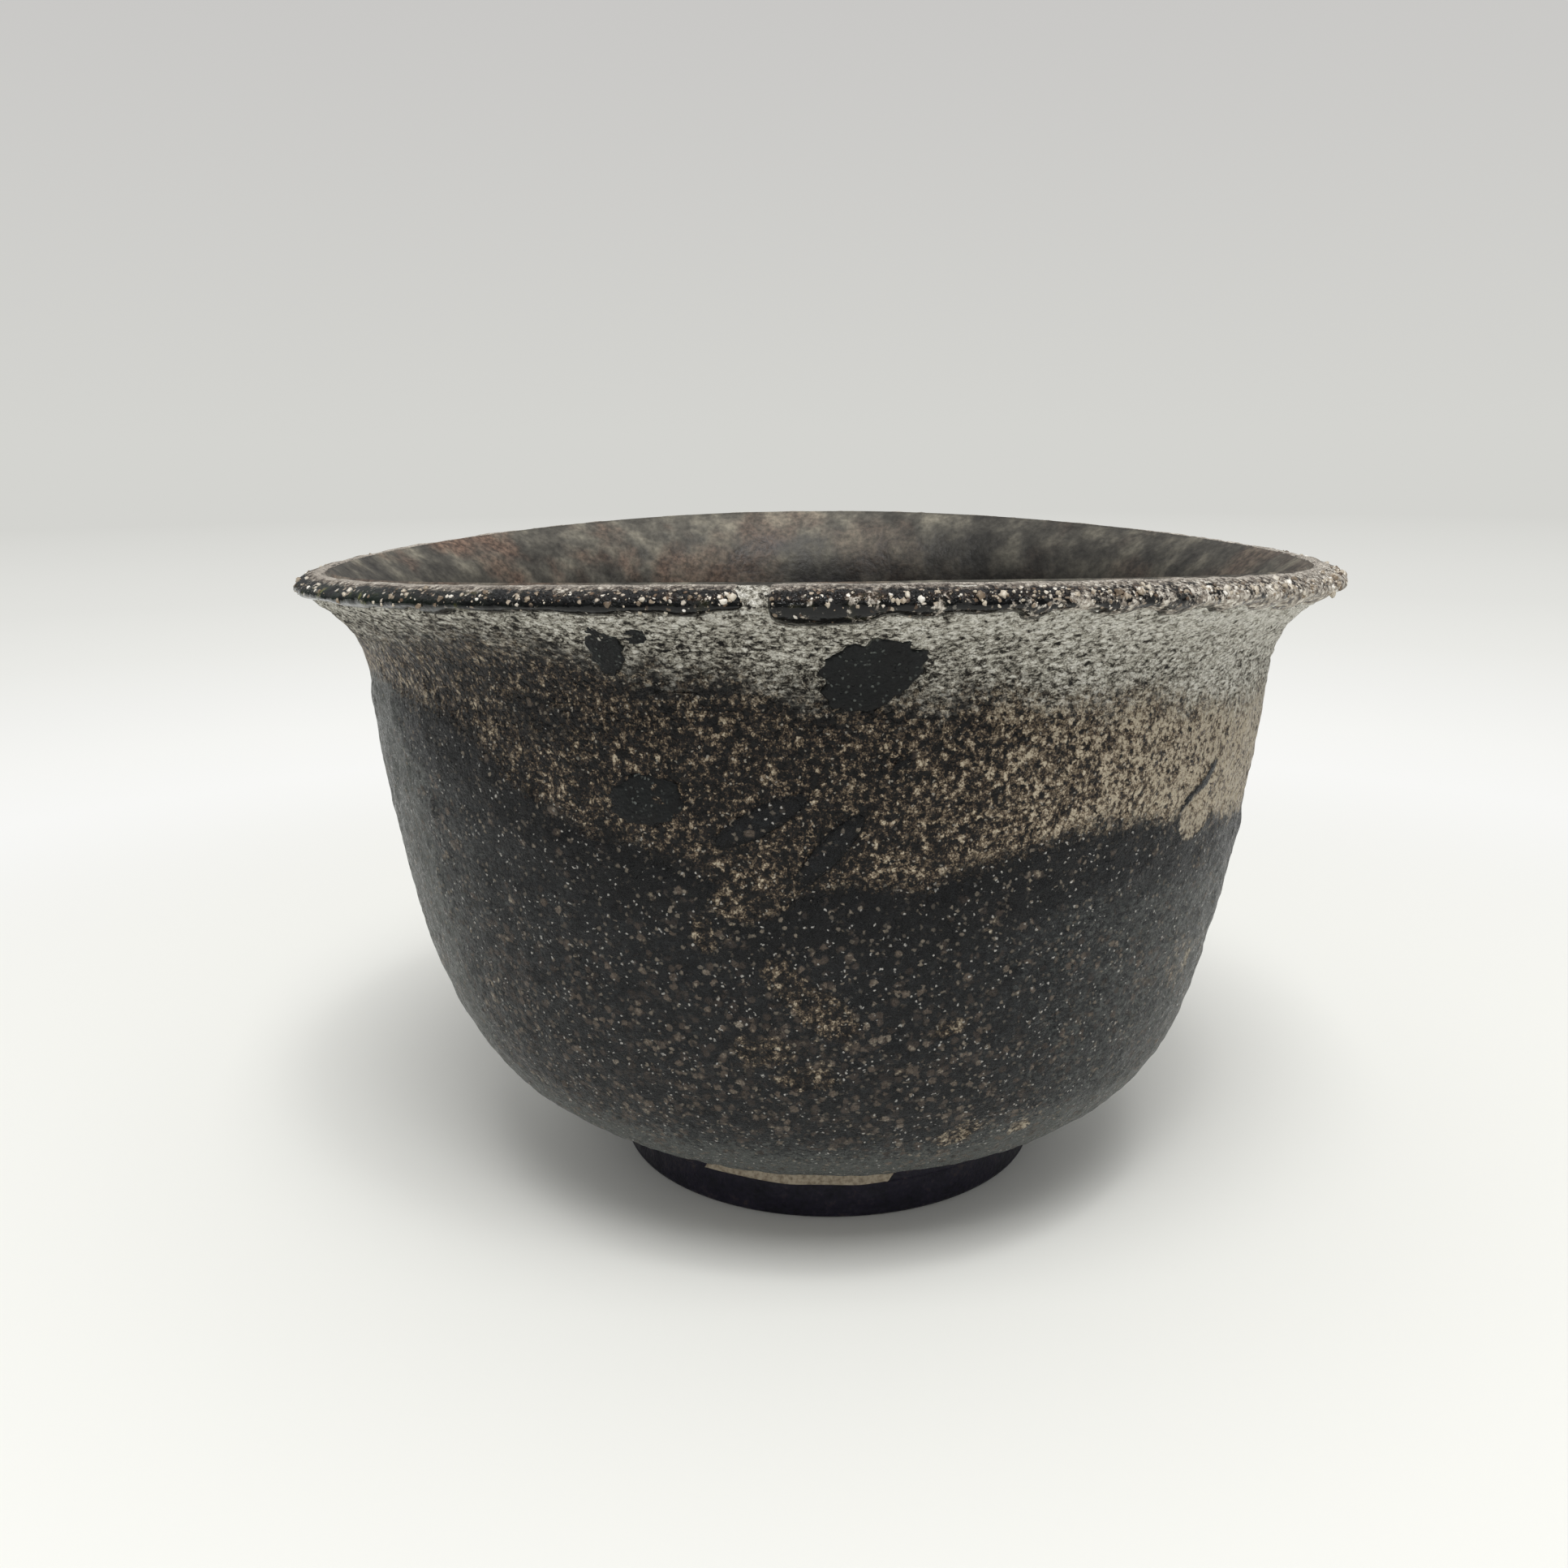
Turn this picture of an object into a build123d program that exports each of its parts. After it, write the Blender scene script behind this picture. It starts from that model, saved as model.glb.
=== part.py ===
from build123d import *
import os
from math import cos, radians, sin

# A small thrown stoneware sake cup with an everted, wavy lip and a luted foot ring.
# Millimetres. Z is up and the cup stands on Z = 0. The side with the break in its lip
# glaze faces -Y, and +X is to the right of that side. Heights are above the table.

# The cup as a whole
cup_height = 50.4
lip_radius = 40.0

# The lip rises at front and back and dips at the sides
rim_rise = 0.85
wave_start_height = 36.0

# The outside of the wall, from the foot to the throat under the lip
neck_radius = 17.4
root_radius = 24.0
root_height = 7.5
heel_radius = 29.0
heel_height = 12.9
belly_radius = 31.85
belly_height = 21.1
shoulder_radius = 34.1
shoulder_height = 33.3
waist_radius = 34.85
waist_height = 40.1
throat_radius = 35.6
throat_height = 44.4
flare_radius = 37.0
flare_height = 46.3

# The clay of the wall
wall_at_neck = 4.0
wall_at_lip = 2.0
lip_lean = 42.0
floor_flat_radius = 3.0

# The foot ring, and the slip that joins it to the bowl
foot_height = 4.7
foot_radius = 17.4
foot_ring_width = 3.2
foot_inner_draft = 0.6
foot_bevel = 0.4
foot_offset = 0.85
slip_thickness = 0.4
slip_collar_height = 1.8
slip_collar_thickness = 0.2
recess_depth = 0.8
recess_slope = 4.0
nub_radius = 2.6
nub_height = 0.6

# The glaze inside, and the dark coat over the lower outside
liner_thickness = 0.35
coat_thickness = 0.35
coat_height = 33.0

# The thick roll of glass that gathered under the lip, open at one break
roll_depth = 1.0
roll_film = 0.1
roll_drop = 0.1
roll_scallops = 23
scallop_depth = 0.35
roll_lowest_angle = -70.0
break_angle = -6.0
break_width = 2.0
roll_taper_angle = 10.0
roll_least_fullness = 0.3

# Grains of quartz that stand in the roll, on the side that faced the ash most
stone_count = 30
stone_size = 0.7
smallest_stone = 0.4
stone_first_angle = -64.0
stone_last_angle = 70.0
stone_tilt_swing = 20.0
stone_sink = 0.25
grain_sides = 6
grain_depth = 0.8
grain_taper = 12.0

# Steps that make neighbours differ: in radians for height and size, in degrees for spin
tilt_step = 2.4
size_step = 1.7
spin_step = 40.0

# Dark glassy drops on the outside: angle from the front, height, half width, half height
drop_thickness = 0.35
drop_reach = 1.5
drops = [
    (4.2, 44.1, 2.95, 2.1),
    (-20.0, 45.4, 1.5, 1.3),
    (-16.5, 46.2, 0.8, 0.5),
    (-18.8, 36.6, 2.6, 1.6),
]

# Worked out from the sizes above
neck_height = foot_height + slip_thickness
lip_round = wall_at_lip / 2
lip_centre_radius = lip_radius - roll_depth - lip_round
lip_centre_height = cup_height - rim_rise - roll_film - lip_round
edge_radius = lip_centre_radius + lip_round * sin(radians(lip_lean))
edge_height = lip_centre_height - lip_round * cos(radians(lip_lean))

recess_radius = foot_radius - foot_ring_width - foot_inner_draft
recess_slope_radius = recess_radius - recess_slope
foot_axis = Axis((foot_offset, 0, 0), (0, 0, 1))

# How finely the thrown shapes are followed
ring_points = 16
outside_steps = 12
inside_steps = 8
lip_steps = 6
liner_lip_steps = 1
roll_points = 4 * roll_scallops
roll_steps = 6


def smooth_step(value):
    """Ease from 0 to 1 with no kink at either end."""
    value = min(max(value, 0.0), 1.0)
    return value * value * (3 - 2 * value)


def wave(turn):
    """Height that the lip gains at an angle, in degrees from the front: twice round."""
    return rim_rise * cos(2 * radians(turn))


def wave_share(height):
    """Share of the lip's wave that the wall has at a height: none below, all at the throat."""
    return smooth_step((height - wave_start_height) / (throat_height - wave_start_height))


def closed_ring(count, station):
    """Closed ring through points round the axis; station gives radius and height at an angle."""
    points = []
    for step in range(count):
        turn = 360 * step / count
        radius, height, off_centre = station(turn)
        x = off_centre + radius * sin(radians(turn))
        y = -radius * cos(radians(turn))
        points.append(Vector(x, y, height))
    return Edge.make_spline(points, periodic=True)


def ring(radius, height):
    """Ring of the thrown shape: off centre at the foot, round, then wavy to the lip."""
    share = wave_share(height)
    off_centre = foot_offset * (1 - smooth_step((height - neck_height) / (belly_height - neck_height)))
    return closed_ring(ring_points, lambda turn: (radius, height + share * wave(turn), off_centre))


def loft_through(rings):
    """Solid with straight runs between rings, closed by a disc at each end."""
    return Solid.make_loft([Wire(edge) for edge in rings], ruled=True)


def hoop(rings):
    """Solid with straight runs between rings, closed from the last ring back to the first."""
    faces = [Face.make_surface_from_curves(low, high) for low, high in zip(rings, rings[1:] + rings[:1])]
    return Solid(Shell(faces))


def at_angle(turn, radius, height):
    """Point at an angle from the front, a radius and a height."""
    return Vector(radius * sin(radians(turn)), -radius * cos(radians(turn)), height)


# The outside of the wall, drawn once: x is the radius and y the height
with BuildLine() as outside:
    Spline(
        (neck_radius, neck_height),
        (root_radius, root_height),
        (heel_radius, heel_height),
        (belly_radius, belly_height),
        (shoulder_radius, shoulder_height),
        (waist_radius, waist_height),
        (throat_radius, throat_height),
        (flare_radius, flare_height),
        (edge_radius, edge_height),
    )
outline = outside.edges()[0]


def outside_station(share, outwards=0.0):
    """Radius and height at a share of the outline, moved outwards along its normal."""
    place = outline @ share
    along = outline % share
    return (place.X + outwards * along.Y, place.Y - outwards * along.X)


def inside_station(share, inwards=0.0):
    """Radius and height on the inside of the wall, moved further into the cup."""
    wall = wall_at_neck + (wall_at_lip - wall_at_neck) * share
    return outside_station(share, -wall - inwards)


def outside_share(height):
    """Share of the outline at which the outside reaches a height, found by halving."""
    low = 0.0
    high = 1.0
    for _ in range(30):
        middle = (low + high) / 2
        if (outline @ middle).Y < height:
            low = middle
        else:
            high = middle
    return (low + high) / 2


def lip_station(angle, growth=0.0):
    """Radius and height on the round of the lip, at an angle above the horizontal."""
    reach = lip_round + growth
    radius = lip_centre_radius + reach * cos(radians(angle))
    return (radius, lip_centre_height + reach * sin(radians(angle)))


# Rings of the clay and of the glaze skins on it, from the foot upwards, with one at the coat's edge
coat_end = outside_share(coat_height)
outside_shares = sorted([step / outside_steps for step in range(outside_steps)] + [coat_end])
coat_top = outside_shares.index(coat_end)
inside_shares = [step / inside_steps for step in range(inside_steps)]
lip_angles = [lip_lean + 90 - 180 * step / lip_steps for step in range(lip_steps + 1)]
floor_height = inside_station(0)[1]
outside_rings = [ring(*outside_station(share)) for share in outside_shares]
lip_rings = [ring(*lip_station(angle)) for angle in lip_angles]
inside_rings = [ring(floor_flat_radius, floor_height)]
inside_rings += [ring(*inside_station(share)) for share in inside_shares]

# Bowl: one skin of rings up the inside, over the lip and down the outside
with BuildPart() as bowl:
    add(loft_through(inside_rings + lip_rings + outside_rings[::-1]))
    # The underside is turned hollow inside the foot ring, with a low nub left at its centre
    with BuildSketch(Plane.XZ):
        with BuildLine():
            Polyline(
                (foot_offset, foot_height),
                (foot_offset + recess_radius, foot_height),
                (foot_offset + recess_radius, neck_height),
                (foot_offset + recess_slope_radius, neck_height + recess_depth),
                (foot_offset + nub_radius, neck_height + recess_depth),
                (foot_offset, neck_height + recess_depth - nub_height),
                close=True,
            )
        make_face()
    revolve(axis=foot_axis, mode=Mode.SUBTRACT)
bowl.part.label = "bowl"

# Foot ring: turned, with a flat resting face, bevelled corners and a drafted inside
with BuildPart() as foot_ring:
    with BuildSketch(Plane.XZ):
        with BuildLine():
            Polyline(
                (foot_offset + foot_radius - foot_ring_width, 0),
                (foot_offset + foot_radius, 0),
                (foot_offset + foot_radius, foot_height),
                (foot_offset + recess_radius, foot_height),
                close=True,
            )
        make_face()
    revolve(axis=foot_axis)
    chamfer(foot_ring.edges().group_by(Axis.Z)[0], foot_bevel)
foot_ring.part.label = "foot_ring"

# Luting slip: the bed between ring and bowl, and the collar smeared down over the joint
with BuildPart() as luting_slip:
    with BuildSketch(Plane.XZ):
        with BuildLine():
            collar = foot_offset + foot_radius + slip_collar_thickness
            Polyline(
                (foot_offset + recess_radius, foot_height),
                (foot_offset + foot_radius, foot_height),
                (foot_offset + foot_radius, neck_height - slip_collar_height),
                (collar, neck_height - slip_collar_height + slip_collar_thickness),
                (collar, neck_height),
                (foot_offset + recess_radius, neck_height),
                close=True,
            )
        make_face()
    revolve(axis=foot_axis)
    add(bowl.part, mode=Mode.SUBTRACT)
luting_slip.part.label = "luting_slip"

# Liner glaze: a skin over the floor and the inside wall, thinning on the lip to meet the roll
liner_end = lip_angles[liner_lip_steps]
liner_rings = [ring(floor_flat_radius, floor_height + liner_thickness)]
liner_rings += [ring(*inside_station(share, liner_thickness)) for share in inside_shares]
liner_rings += [ring(*lip_station(angle, liner_thickness)) for angle in lip_angles[:liner_lip_steps]]
liner_rings += [ring(*lip_station(liner_end, roll_film))]
with BuildPart() as liner_glaze:
    add(loft_through(inside_rings + lip_rings[: liner_lip_steps + 1] + liner_rings[::-1]))
liner_glaze.part.label = "liner_glaze"

# Outer coat: a skin over the lower outside, up to the line where the glaze stopped
coat_shares = outside_shares[1 : coat_top + 1]
coat_rings = [ring(*outside_station(share, coat_thickness)) for share in coat_shares]
with BuildPart() as outer_glaze:
    add(hoop(outside_rings[: coat_top + 1] + coat_rings[::-1]))
outer_glaze.part.label = "outer_glaze"


def roll_fullness(turn):
    """Share of the roll's full depth, which runs out towards the left of its break."""
    to_break = (break_angle - break_width / 2 - turn) % 360
    return roll_least_fullness + (1 - roll_least_fullness) * smooth_step(to_break / roll_taper_angle)


def roll_station(angle, turn):
    """Radius and height on the roll's face: round above the lip's centre, hanging below it."""
    fullness = roll_fullness(turn)
    scallop = scallop_depth * (1 - cos(radians(turn) * roll_scallops)) / 2
    film = lip_round + roll_film
    across = film + (roll_depth - roll_film) * max(cos(radians(angle)), 0) * fullness
    upright = film if angle > 0 else film + (roll_drop + scallop) * fullness
    radius = lip_centre_radius + across * cos(radians(angle))
    return (radius, lip_centre_height + wave(turn) + upright * sin(radians(angle)), 0)


def grain(size):
    """A chipped grain of quartz about its own centre: six-sided and tapering."""
    with BuildPart() as chip:
        with BuildSketch(Plane.XY.offset(-grain_depth * size / 2)):
            RegularPolygon(size / 2, grain_sides)
        extrude(amount=grain_depth * size, taper=grain_taper)
    return chip.part


def grain_turn(number):
    """Angle from the front at which a grain sits."""
    return stone_first_angle + (stone_last_angle - stone_first_angle) * (number + 0.5) / stone_count


def grain_place(number):
    """Where a grain sits in the roll's face, higher and lower by turns."""
    turn = grain_turn(number)
    radius, height, _ = roll_station(stone_tilt_swing * sin(tilt_step * number), turn)
    return Location(at_angle(turn, radius - stone_sink, height), (spin_step * number, 0, turn))


# Stones: chipped grains half sunk in the roll where it is full, in one group
grains = []
for number in range(stone_count):
    if roll_fullness(grain_turn(number)) == 1:
        size = smallest_stone + (stone_size - smallest_stone) * (1 + sin(size_step * number)) / 2
        grains.append(grain_place(number) * grain(size))
with BuildPart() as lip_stones:
    add(grains)
lip_stones.part.label = "lip_stones"

# Lip roll: rings over its face, closed along the clay of the lip, and cut through at the break
roll_rings = [liner_rings[-1]]
for step in range(1, roll_steps + 1):
    angle = liner_end + (roll_lowest_angle - liner_end) * step / roll_steps
    roll_rings.append(closed_ring(roll_points, lambda turn, at=angle: roll_station(at, turn)))
break_left = at_angle(break_angle - break_width / 2, cup_height, 0)
break_right = at_angle(break_angle + break_width / 2, cup_height, 0)
with BuildPart() as lip_glaze:
    add(hoop(roll_rings + lip_rings[: liner_lip_steps - 1 : -1]))
    with BuildSketch(Plane.XY.offset(throat_height)):
        with BuildLine():
            Polyline((0, 0), (break_left.X, break_left.Y), (break_right.X, break_right.Y), close=True)
        make_face()
    extrude(amount=cup_height, mode=Mode.SUBTRACT)
    # Each grain has its own pocket in the glass
    add(lip_stones.part, mode=Mode.SUBTRACT)
lip_glaze.part.label = "lip_glaze"

# Drops: a film of dark glass on the outside wall, kept only inside each drop's oval
film_shares = outside_shares[coat_top:] + [1.0]
clay_side = outside_rings[coat_top:] + lip_rings[-1:]
air_side = [ring(*outside_station(share, drop_thickness)) for share in film_shares]
ovals = []
for turn, height, half_width, half_height in drops:
    share = outside_share(height)
    radius = outside_station(share)[0]
    tangent = outline % share
    out = at_angle(turn, tangent.Y, -tangent.X)
    middle = at_angle(turn, radius, height + wave_share(height) * wave(turn))
    seat = Plane(middle, x_dir=at_angle(turn + 90, 1, 0), z_dir=out)
    with BuildSketch(seat) as oval:
        Ellipse(half_width, half_height)
    ovals.append(extrude(oval.sketch, amount=drop_reach, both=True, mode=Mode.PRIVATE))
with BuildPart() as glaze_drops:
    add(ovals)
    add(hoop(clay_side + air_side[::-1]), mode=Mode.INTERSECT)
glaze_drops.part.label = "glaze_drops"

parts = [bowl, foot_ring, luting_slip, liner_glaze, outer_glaze, lip_glaze, lip_stones, glaze_drops]
os.makedirs("parts", exist_ok=True)
for piece in parts:
    export_step(piece.part, f"parts/{piece.part.label}.step")
    print(piece.part.label, round(piece.part.volume, 1), piece.part.is_valid, piece.part.bounding_box())
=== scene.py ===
"""Visual model of a small wood-fired stoneware sake cup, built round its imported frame.

Every object is in metres and in the frame's own axes: +Z is up, the cup stands on Z = 0
and the break in its lip glaze faces -Y. Angles round the cup are in degrees from the
front, positive towards +X. Sizes are in millimetres where their name ends in _mm.
"""
import logging
from dataclasses import dataclass
from enum import Enum
from math import radians

import bpy
import numpy as np
from mathutils import Euler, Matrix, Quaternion, Vector


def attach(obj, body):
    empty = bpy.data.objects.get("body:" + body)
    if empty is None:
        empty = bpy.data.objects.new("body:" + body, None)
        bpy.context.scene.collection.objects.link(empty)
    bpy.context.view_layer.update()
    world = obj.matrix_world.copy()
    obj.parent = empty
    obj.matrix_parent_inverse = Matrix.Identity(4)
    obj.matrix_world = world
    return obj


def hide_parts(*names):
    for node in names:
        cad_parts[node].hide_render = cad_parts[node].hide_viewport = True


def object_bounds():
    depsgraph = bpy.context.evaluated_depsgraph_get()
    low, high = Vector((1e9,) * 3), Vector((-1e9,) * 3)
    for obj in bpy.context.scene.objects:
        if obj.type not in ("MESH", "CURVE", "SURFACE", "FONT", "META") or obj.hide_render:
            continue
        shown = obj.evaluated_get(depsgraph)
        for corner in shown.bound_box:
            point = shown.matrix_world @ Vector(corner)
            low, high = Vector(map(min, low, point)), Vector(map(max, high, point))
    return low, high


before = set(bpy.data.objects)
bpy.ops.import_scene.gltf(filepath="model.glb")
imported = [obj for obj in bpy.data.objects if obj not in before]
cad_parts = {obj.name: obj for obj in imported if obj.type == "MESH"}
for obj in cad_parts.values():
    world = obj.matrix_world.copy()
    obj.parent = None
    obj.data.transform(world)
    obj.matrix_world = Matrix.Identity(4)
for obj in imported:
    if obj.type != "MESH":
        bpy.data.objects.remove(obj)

CAD_LOW, CAD_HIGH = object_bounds()
BODY = "root"
MM = 0.001
FULL_TURN = 360.0
BOX_MARGIN_MM = 0.005
log = logging.getLogger("sake_cup")

Array = np.ndarray
Triple = tuple[float, float, float]
Stops = tuple[tuple[float, float], ...]
Ramp = tuple[tuple[float, float, float, float], ...]
Socket = bpy.types.NodeSocket
Weighted = tuple[Socket, float]
Piece = bpy.types.Object


class Wrap(Enum):
    """How the rows of a surface grid are closed."""

    RING = "the last row joins the first"
    POLES = "the first and the last row each close on one point"


def srgb(*screen: float) -> Triple:
    """Turn a screen colour, 0 to 255, into the linear colour that a shader takes."""
    share = np.array(screen) / 255
    return tuple(np.where(share <= 0.04045, share / 12.92, ((share + 0.055) / 1.055) ** 2.4).tolist())


def ease(value: Array, low: float, high: float) -> Array:
    """Go from 0 at low to 1 at high: 3t squared less 2t cubed, where t is the clipped share."""
    share = np.clip((value - low) / (high - low), 0, 1)
    return share * share * (3 - 2 * share)


def around(turn: Array, stops: Stops) -> Array:
    """Read a value that changes round the cup, on straight runs between stops at angles."""
    angles, values = zip(*stops)
    return np.interp(turn, angles, values, period=FULL_TURN)


def short_way(turn: Array | float, centre: float = 0.0) -> Array | float:
    """Give the angles from a centre, the short way round."""
    return (turn - centre + 180) % FULL_TURN - 180


def turns(columns: int) -> Array:
    """Give the angles of a ring's columns, as one row."""
    return (np.arange(columns) * FULL_TURN / columns)[None, :]


def carried(turn: Array, radius: Array | float, height: Array | float,
            offset: Array | float = 0.0) -> Array:
    """Carry a section round an upright axis.

    x is the axis's offset plus the radius times the sine of the angle, y is the radius
    times minus its cosine, and z is the height.

    Args:
        turn: Angles from the front.
        radius: Radii from the axis.
        height: Heights.
        offset: How far the axis lies to the right of the cup's.

    Returns:
        Points, with x, y and z on the last axis.
    """
    turn, radius, height = np.broadcast_arrays(turn, radius, height)
    angle = np.radians(turn)
    return np.stack((offset + radius * np.sin(angle), -radius * np.cos(angle), height), axis=-1)


def boxed(points_mm: Array) -> Array:
    """Keep points just inside the measured box of the solids, and give them in metres."""
    low, high = np.array(CAD_LOW) / MM + BOX_MARGIN_MM, np.array(CAD_HIGH) / MM - BOX_MARGIN_MM
    return np.clip(points_mm, low, high) * MM


@dataclass(frozen=True)
class Lattice:
    """Smooth random field: values on a cubic lattice, blended between its corners."""

    seed: int
    side: int = 48

    def field(self, points: Array, size: float, stretch: Triple = (1, 1, 1)) -> Array:
        """Read the field: the eased blend of the eight corners of the cell that holds a point.

        Args:
            points: Places, with x, y and z on the last axis.
            size: Edge of one cell, in the points' unit.
            stretch: Factors on x, y and z; a large one makes the pattern short that way.

        Returns:
            Values from -1 to 1, about 0 on average.
        """
        corners = np.random.default_rng(self.seed).uniform(-1, 1, (self.side,) * 3)
        scaled = points * np.array(stretch) / size
        cell = np.floor(scaled).astype(int)
        inside = ease(scaled - cell, 0, 1)
        total = np.zeros(points.shape[:-1])
        for corner in np.ndindex(2, 2, 2):
            share = np.where(np.array(corner) == 1, inside, 1 - inside).prod(axis=-1)
            index = (cell + corner) % self.side
            total += share * corners[index[..., 0], index[..., 1], index[..., 2]]
        return total

    def layered(self, points: Array, size: float, stretch: Triple = (1, 1, 1)) -> Array:
        """Add a copy half as large and half as strong, read elsewhere, to the field."""
        apart = 13.7 * size
        return self.field(points, size, stretch) + self.field(points + apart, size / 2, stretch) / 2


def normals(grid: Array) -> Array:
    """Find unit normals of a grid of points whose columns close.

    Each is the cross product of the differences along its row and its column.

    Args:
        grid: Points, rows by columns by 3.

    Returns:
        Unit normals of the same shape.
    """
    across = np.roll(grid, -1, axis=1) - np.roll(grid, 1, axis=1)
    product = np.cross(across, np.gradient(grid, axis=0))
    return product / np.maximum(np.linalg.norm(product, axis=-1, keepdims=True), 1e-12)


def linked(name: str, data: bpy.types.ID) -> Piece:
    """Make an object of a mesh, a lamp or a camera, and link it to the scene.

    Args:
        name: Name of the object.
        data: What it shows.

    Returns:
        The new object.
    """
    piece = bpy.data.objects.new(name, data)
    bpy.context.scene.collection.objects.link(piece)
    return piece


def closed_skin(grid: Array, wrap: Wrap) -> tuple[Array, Array, Array]:
    """Join a grid of points, whose columns close into rings, into a closed skin.

    Quads join neighbours in the grid. With poles, the mean of the first and of the last row
    closes that end with a fan. The faces are turned over if they enclose a negative volume.

    Args:
        grid: Points, rows by columns by 3.
        wrap: How the rows close.

    Returns:
        Points, and the corners of the four-sided and of the three-sided faces.
    """
    rows, columns = grid.shape[:2]
    index = np.arange(rows * columns).reshape(rows, columns)
    right = np.roll(index, -1, axis=1)
    points = grid.reshape(-1, 3)
    fans = np.zeros((0, 3), int)
    if wrap is Wrap.RING:
        quads = np.stack((index, right, np.roll(right, -1, axis=0), np.roll(index, -1, axis=0)), axis=-1)
    else:
        quads = np.stack((index[:-1], right[:-1], right[1:], index[1:]), axis=-1)
        pole = np.full(columns, rows * columns)
        points = np.vstack((points, grid[0].mean(axis=0), grid[-1].mean(axis=0)))
        fans = np.vstack((np.stack((right[0], index[0], pole), axis=-1),
                          np.stack((index[-1], right[-1], pole + 1), axis=-1)))
    quads = quads.reshape(-1, 4)
    first, second, third, fourth = points[quads].transpose(1, 0, 2)
    if np.einsum("ij,ij->", first, np.cross(second, third) + np.cross(third, fourth)) < 0:
        quads, fans = quads[:, ::-1], fans[:, ::-1]
    return points, quads, fans


def mesh_piece(name: str, points: Array, quads: Array, fans: Array, marks: dict[str, Array]) -> Piece:
    """Put arrays into a smooth-shaded mesh object.

    Args:
        name: Name of the object.
        points: Vertices in metres.
        quads: Corners of the four-sided faces.
        fans: Corners of the three-sided faces.
        marks: Values for each vertex, kept as float attributes.

    Returns:
        The new object, linked to the scene.
    """
    mesh = bpy.data.meshes.new(name)
    mesh.vertices.add(len(points))
    mesh.vertices.foreach_set("co", np.ascontiguousarray(points, np.float32).ravel())
    loops = np.concatenate((quads.ravel(), fans.ravel())).astype(np.int32)
    sides = np.repeat((4, 3), (len(quads), len(fans)))
    mesh.loops.add(len(loops))
    mesh.loops.foreach_set("vertex_index", loops)
    mesh.polygons.add(len(sides))
    mesh.polygons.foreach_set("loop_start", (np.cumsum(sides) - sides).astype(np.int32))
    mesh.update(calc_edges=True)
    mesh.shade_smooth()
    for key, value in marks.items():
        mesh.attributes.new(key, "FLOAT", "POINT").data.foreach_set("value", value.astype(np.float32).ravel())
    return linked(name, mesh)


def skin_piece(name: str, grid: Array, wrap: Wrap, marks: dict[str, Array]) -> Piece:
    """Make an object from a grid of points whose columns close into rings.

    Args:
        name: Name of the object.
        grid: Points in metres, rows by columns by 3.
        wrap: How the rows close.
        marks: Values for each grid point; a pole takes the value of the grid's end.

    Returns:
        The new object, linked to the scene.
    """
    points, quads, fans = closed_skin(grid, wrap)
    poles = len(points) - grid[..., 0].size
    marks = {key: np.append(value, (value.flat[0], value.flat[-1])[:poles]) for key, value in marks.items()}
    return mesh_piece(name, points, quads, fans, marks)


def dress(piece: Piece, material: bpy.types.Material, nodes: tuple[str, ...]) -> None:
    """Give a piece its finish, its body and the solids that it stands for.

    Args:
        piece: The finished piece.
        material: Its finish.
        nodes: Names of the solids that it replaces.
    """
    piece.data.materials.append(material)
    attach(piece, BODY)
    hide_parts(*nodes)
    log.info("%s: %d vertices, %d faces", piece.name, len(piece.data.vertices), len(piece.data.polygons))


@dataclass(frozen=True)
class Grains:
    """One grain pattern: body is 1 inside a grain, and the others are random for each grain."""

    body: Socket
    tone: Socket
    lot: Socket
    last: Socket


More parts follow.
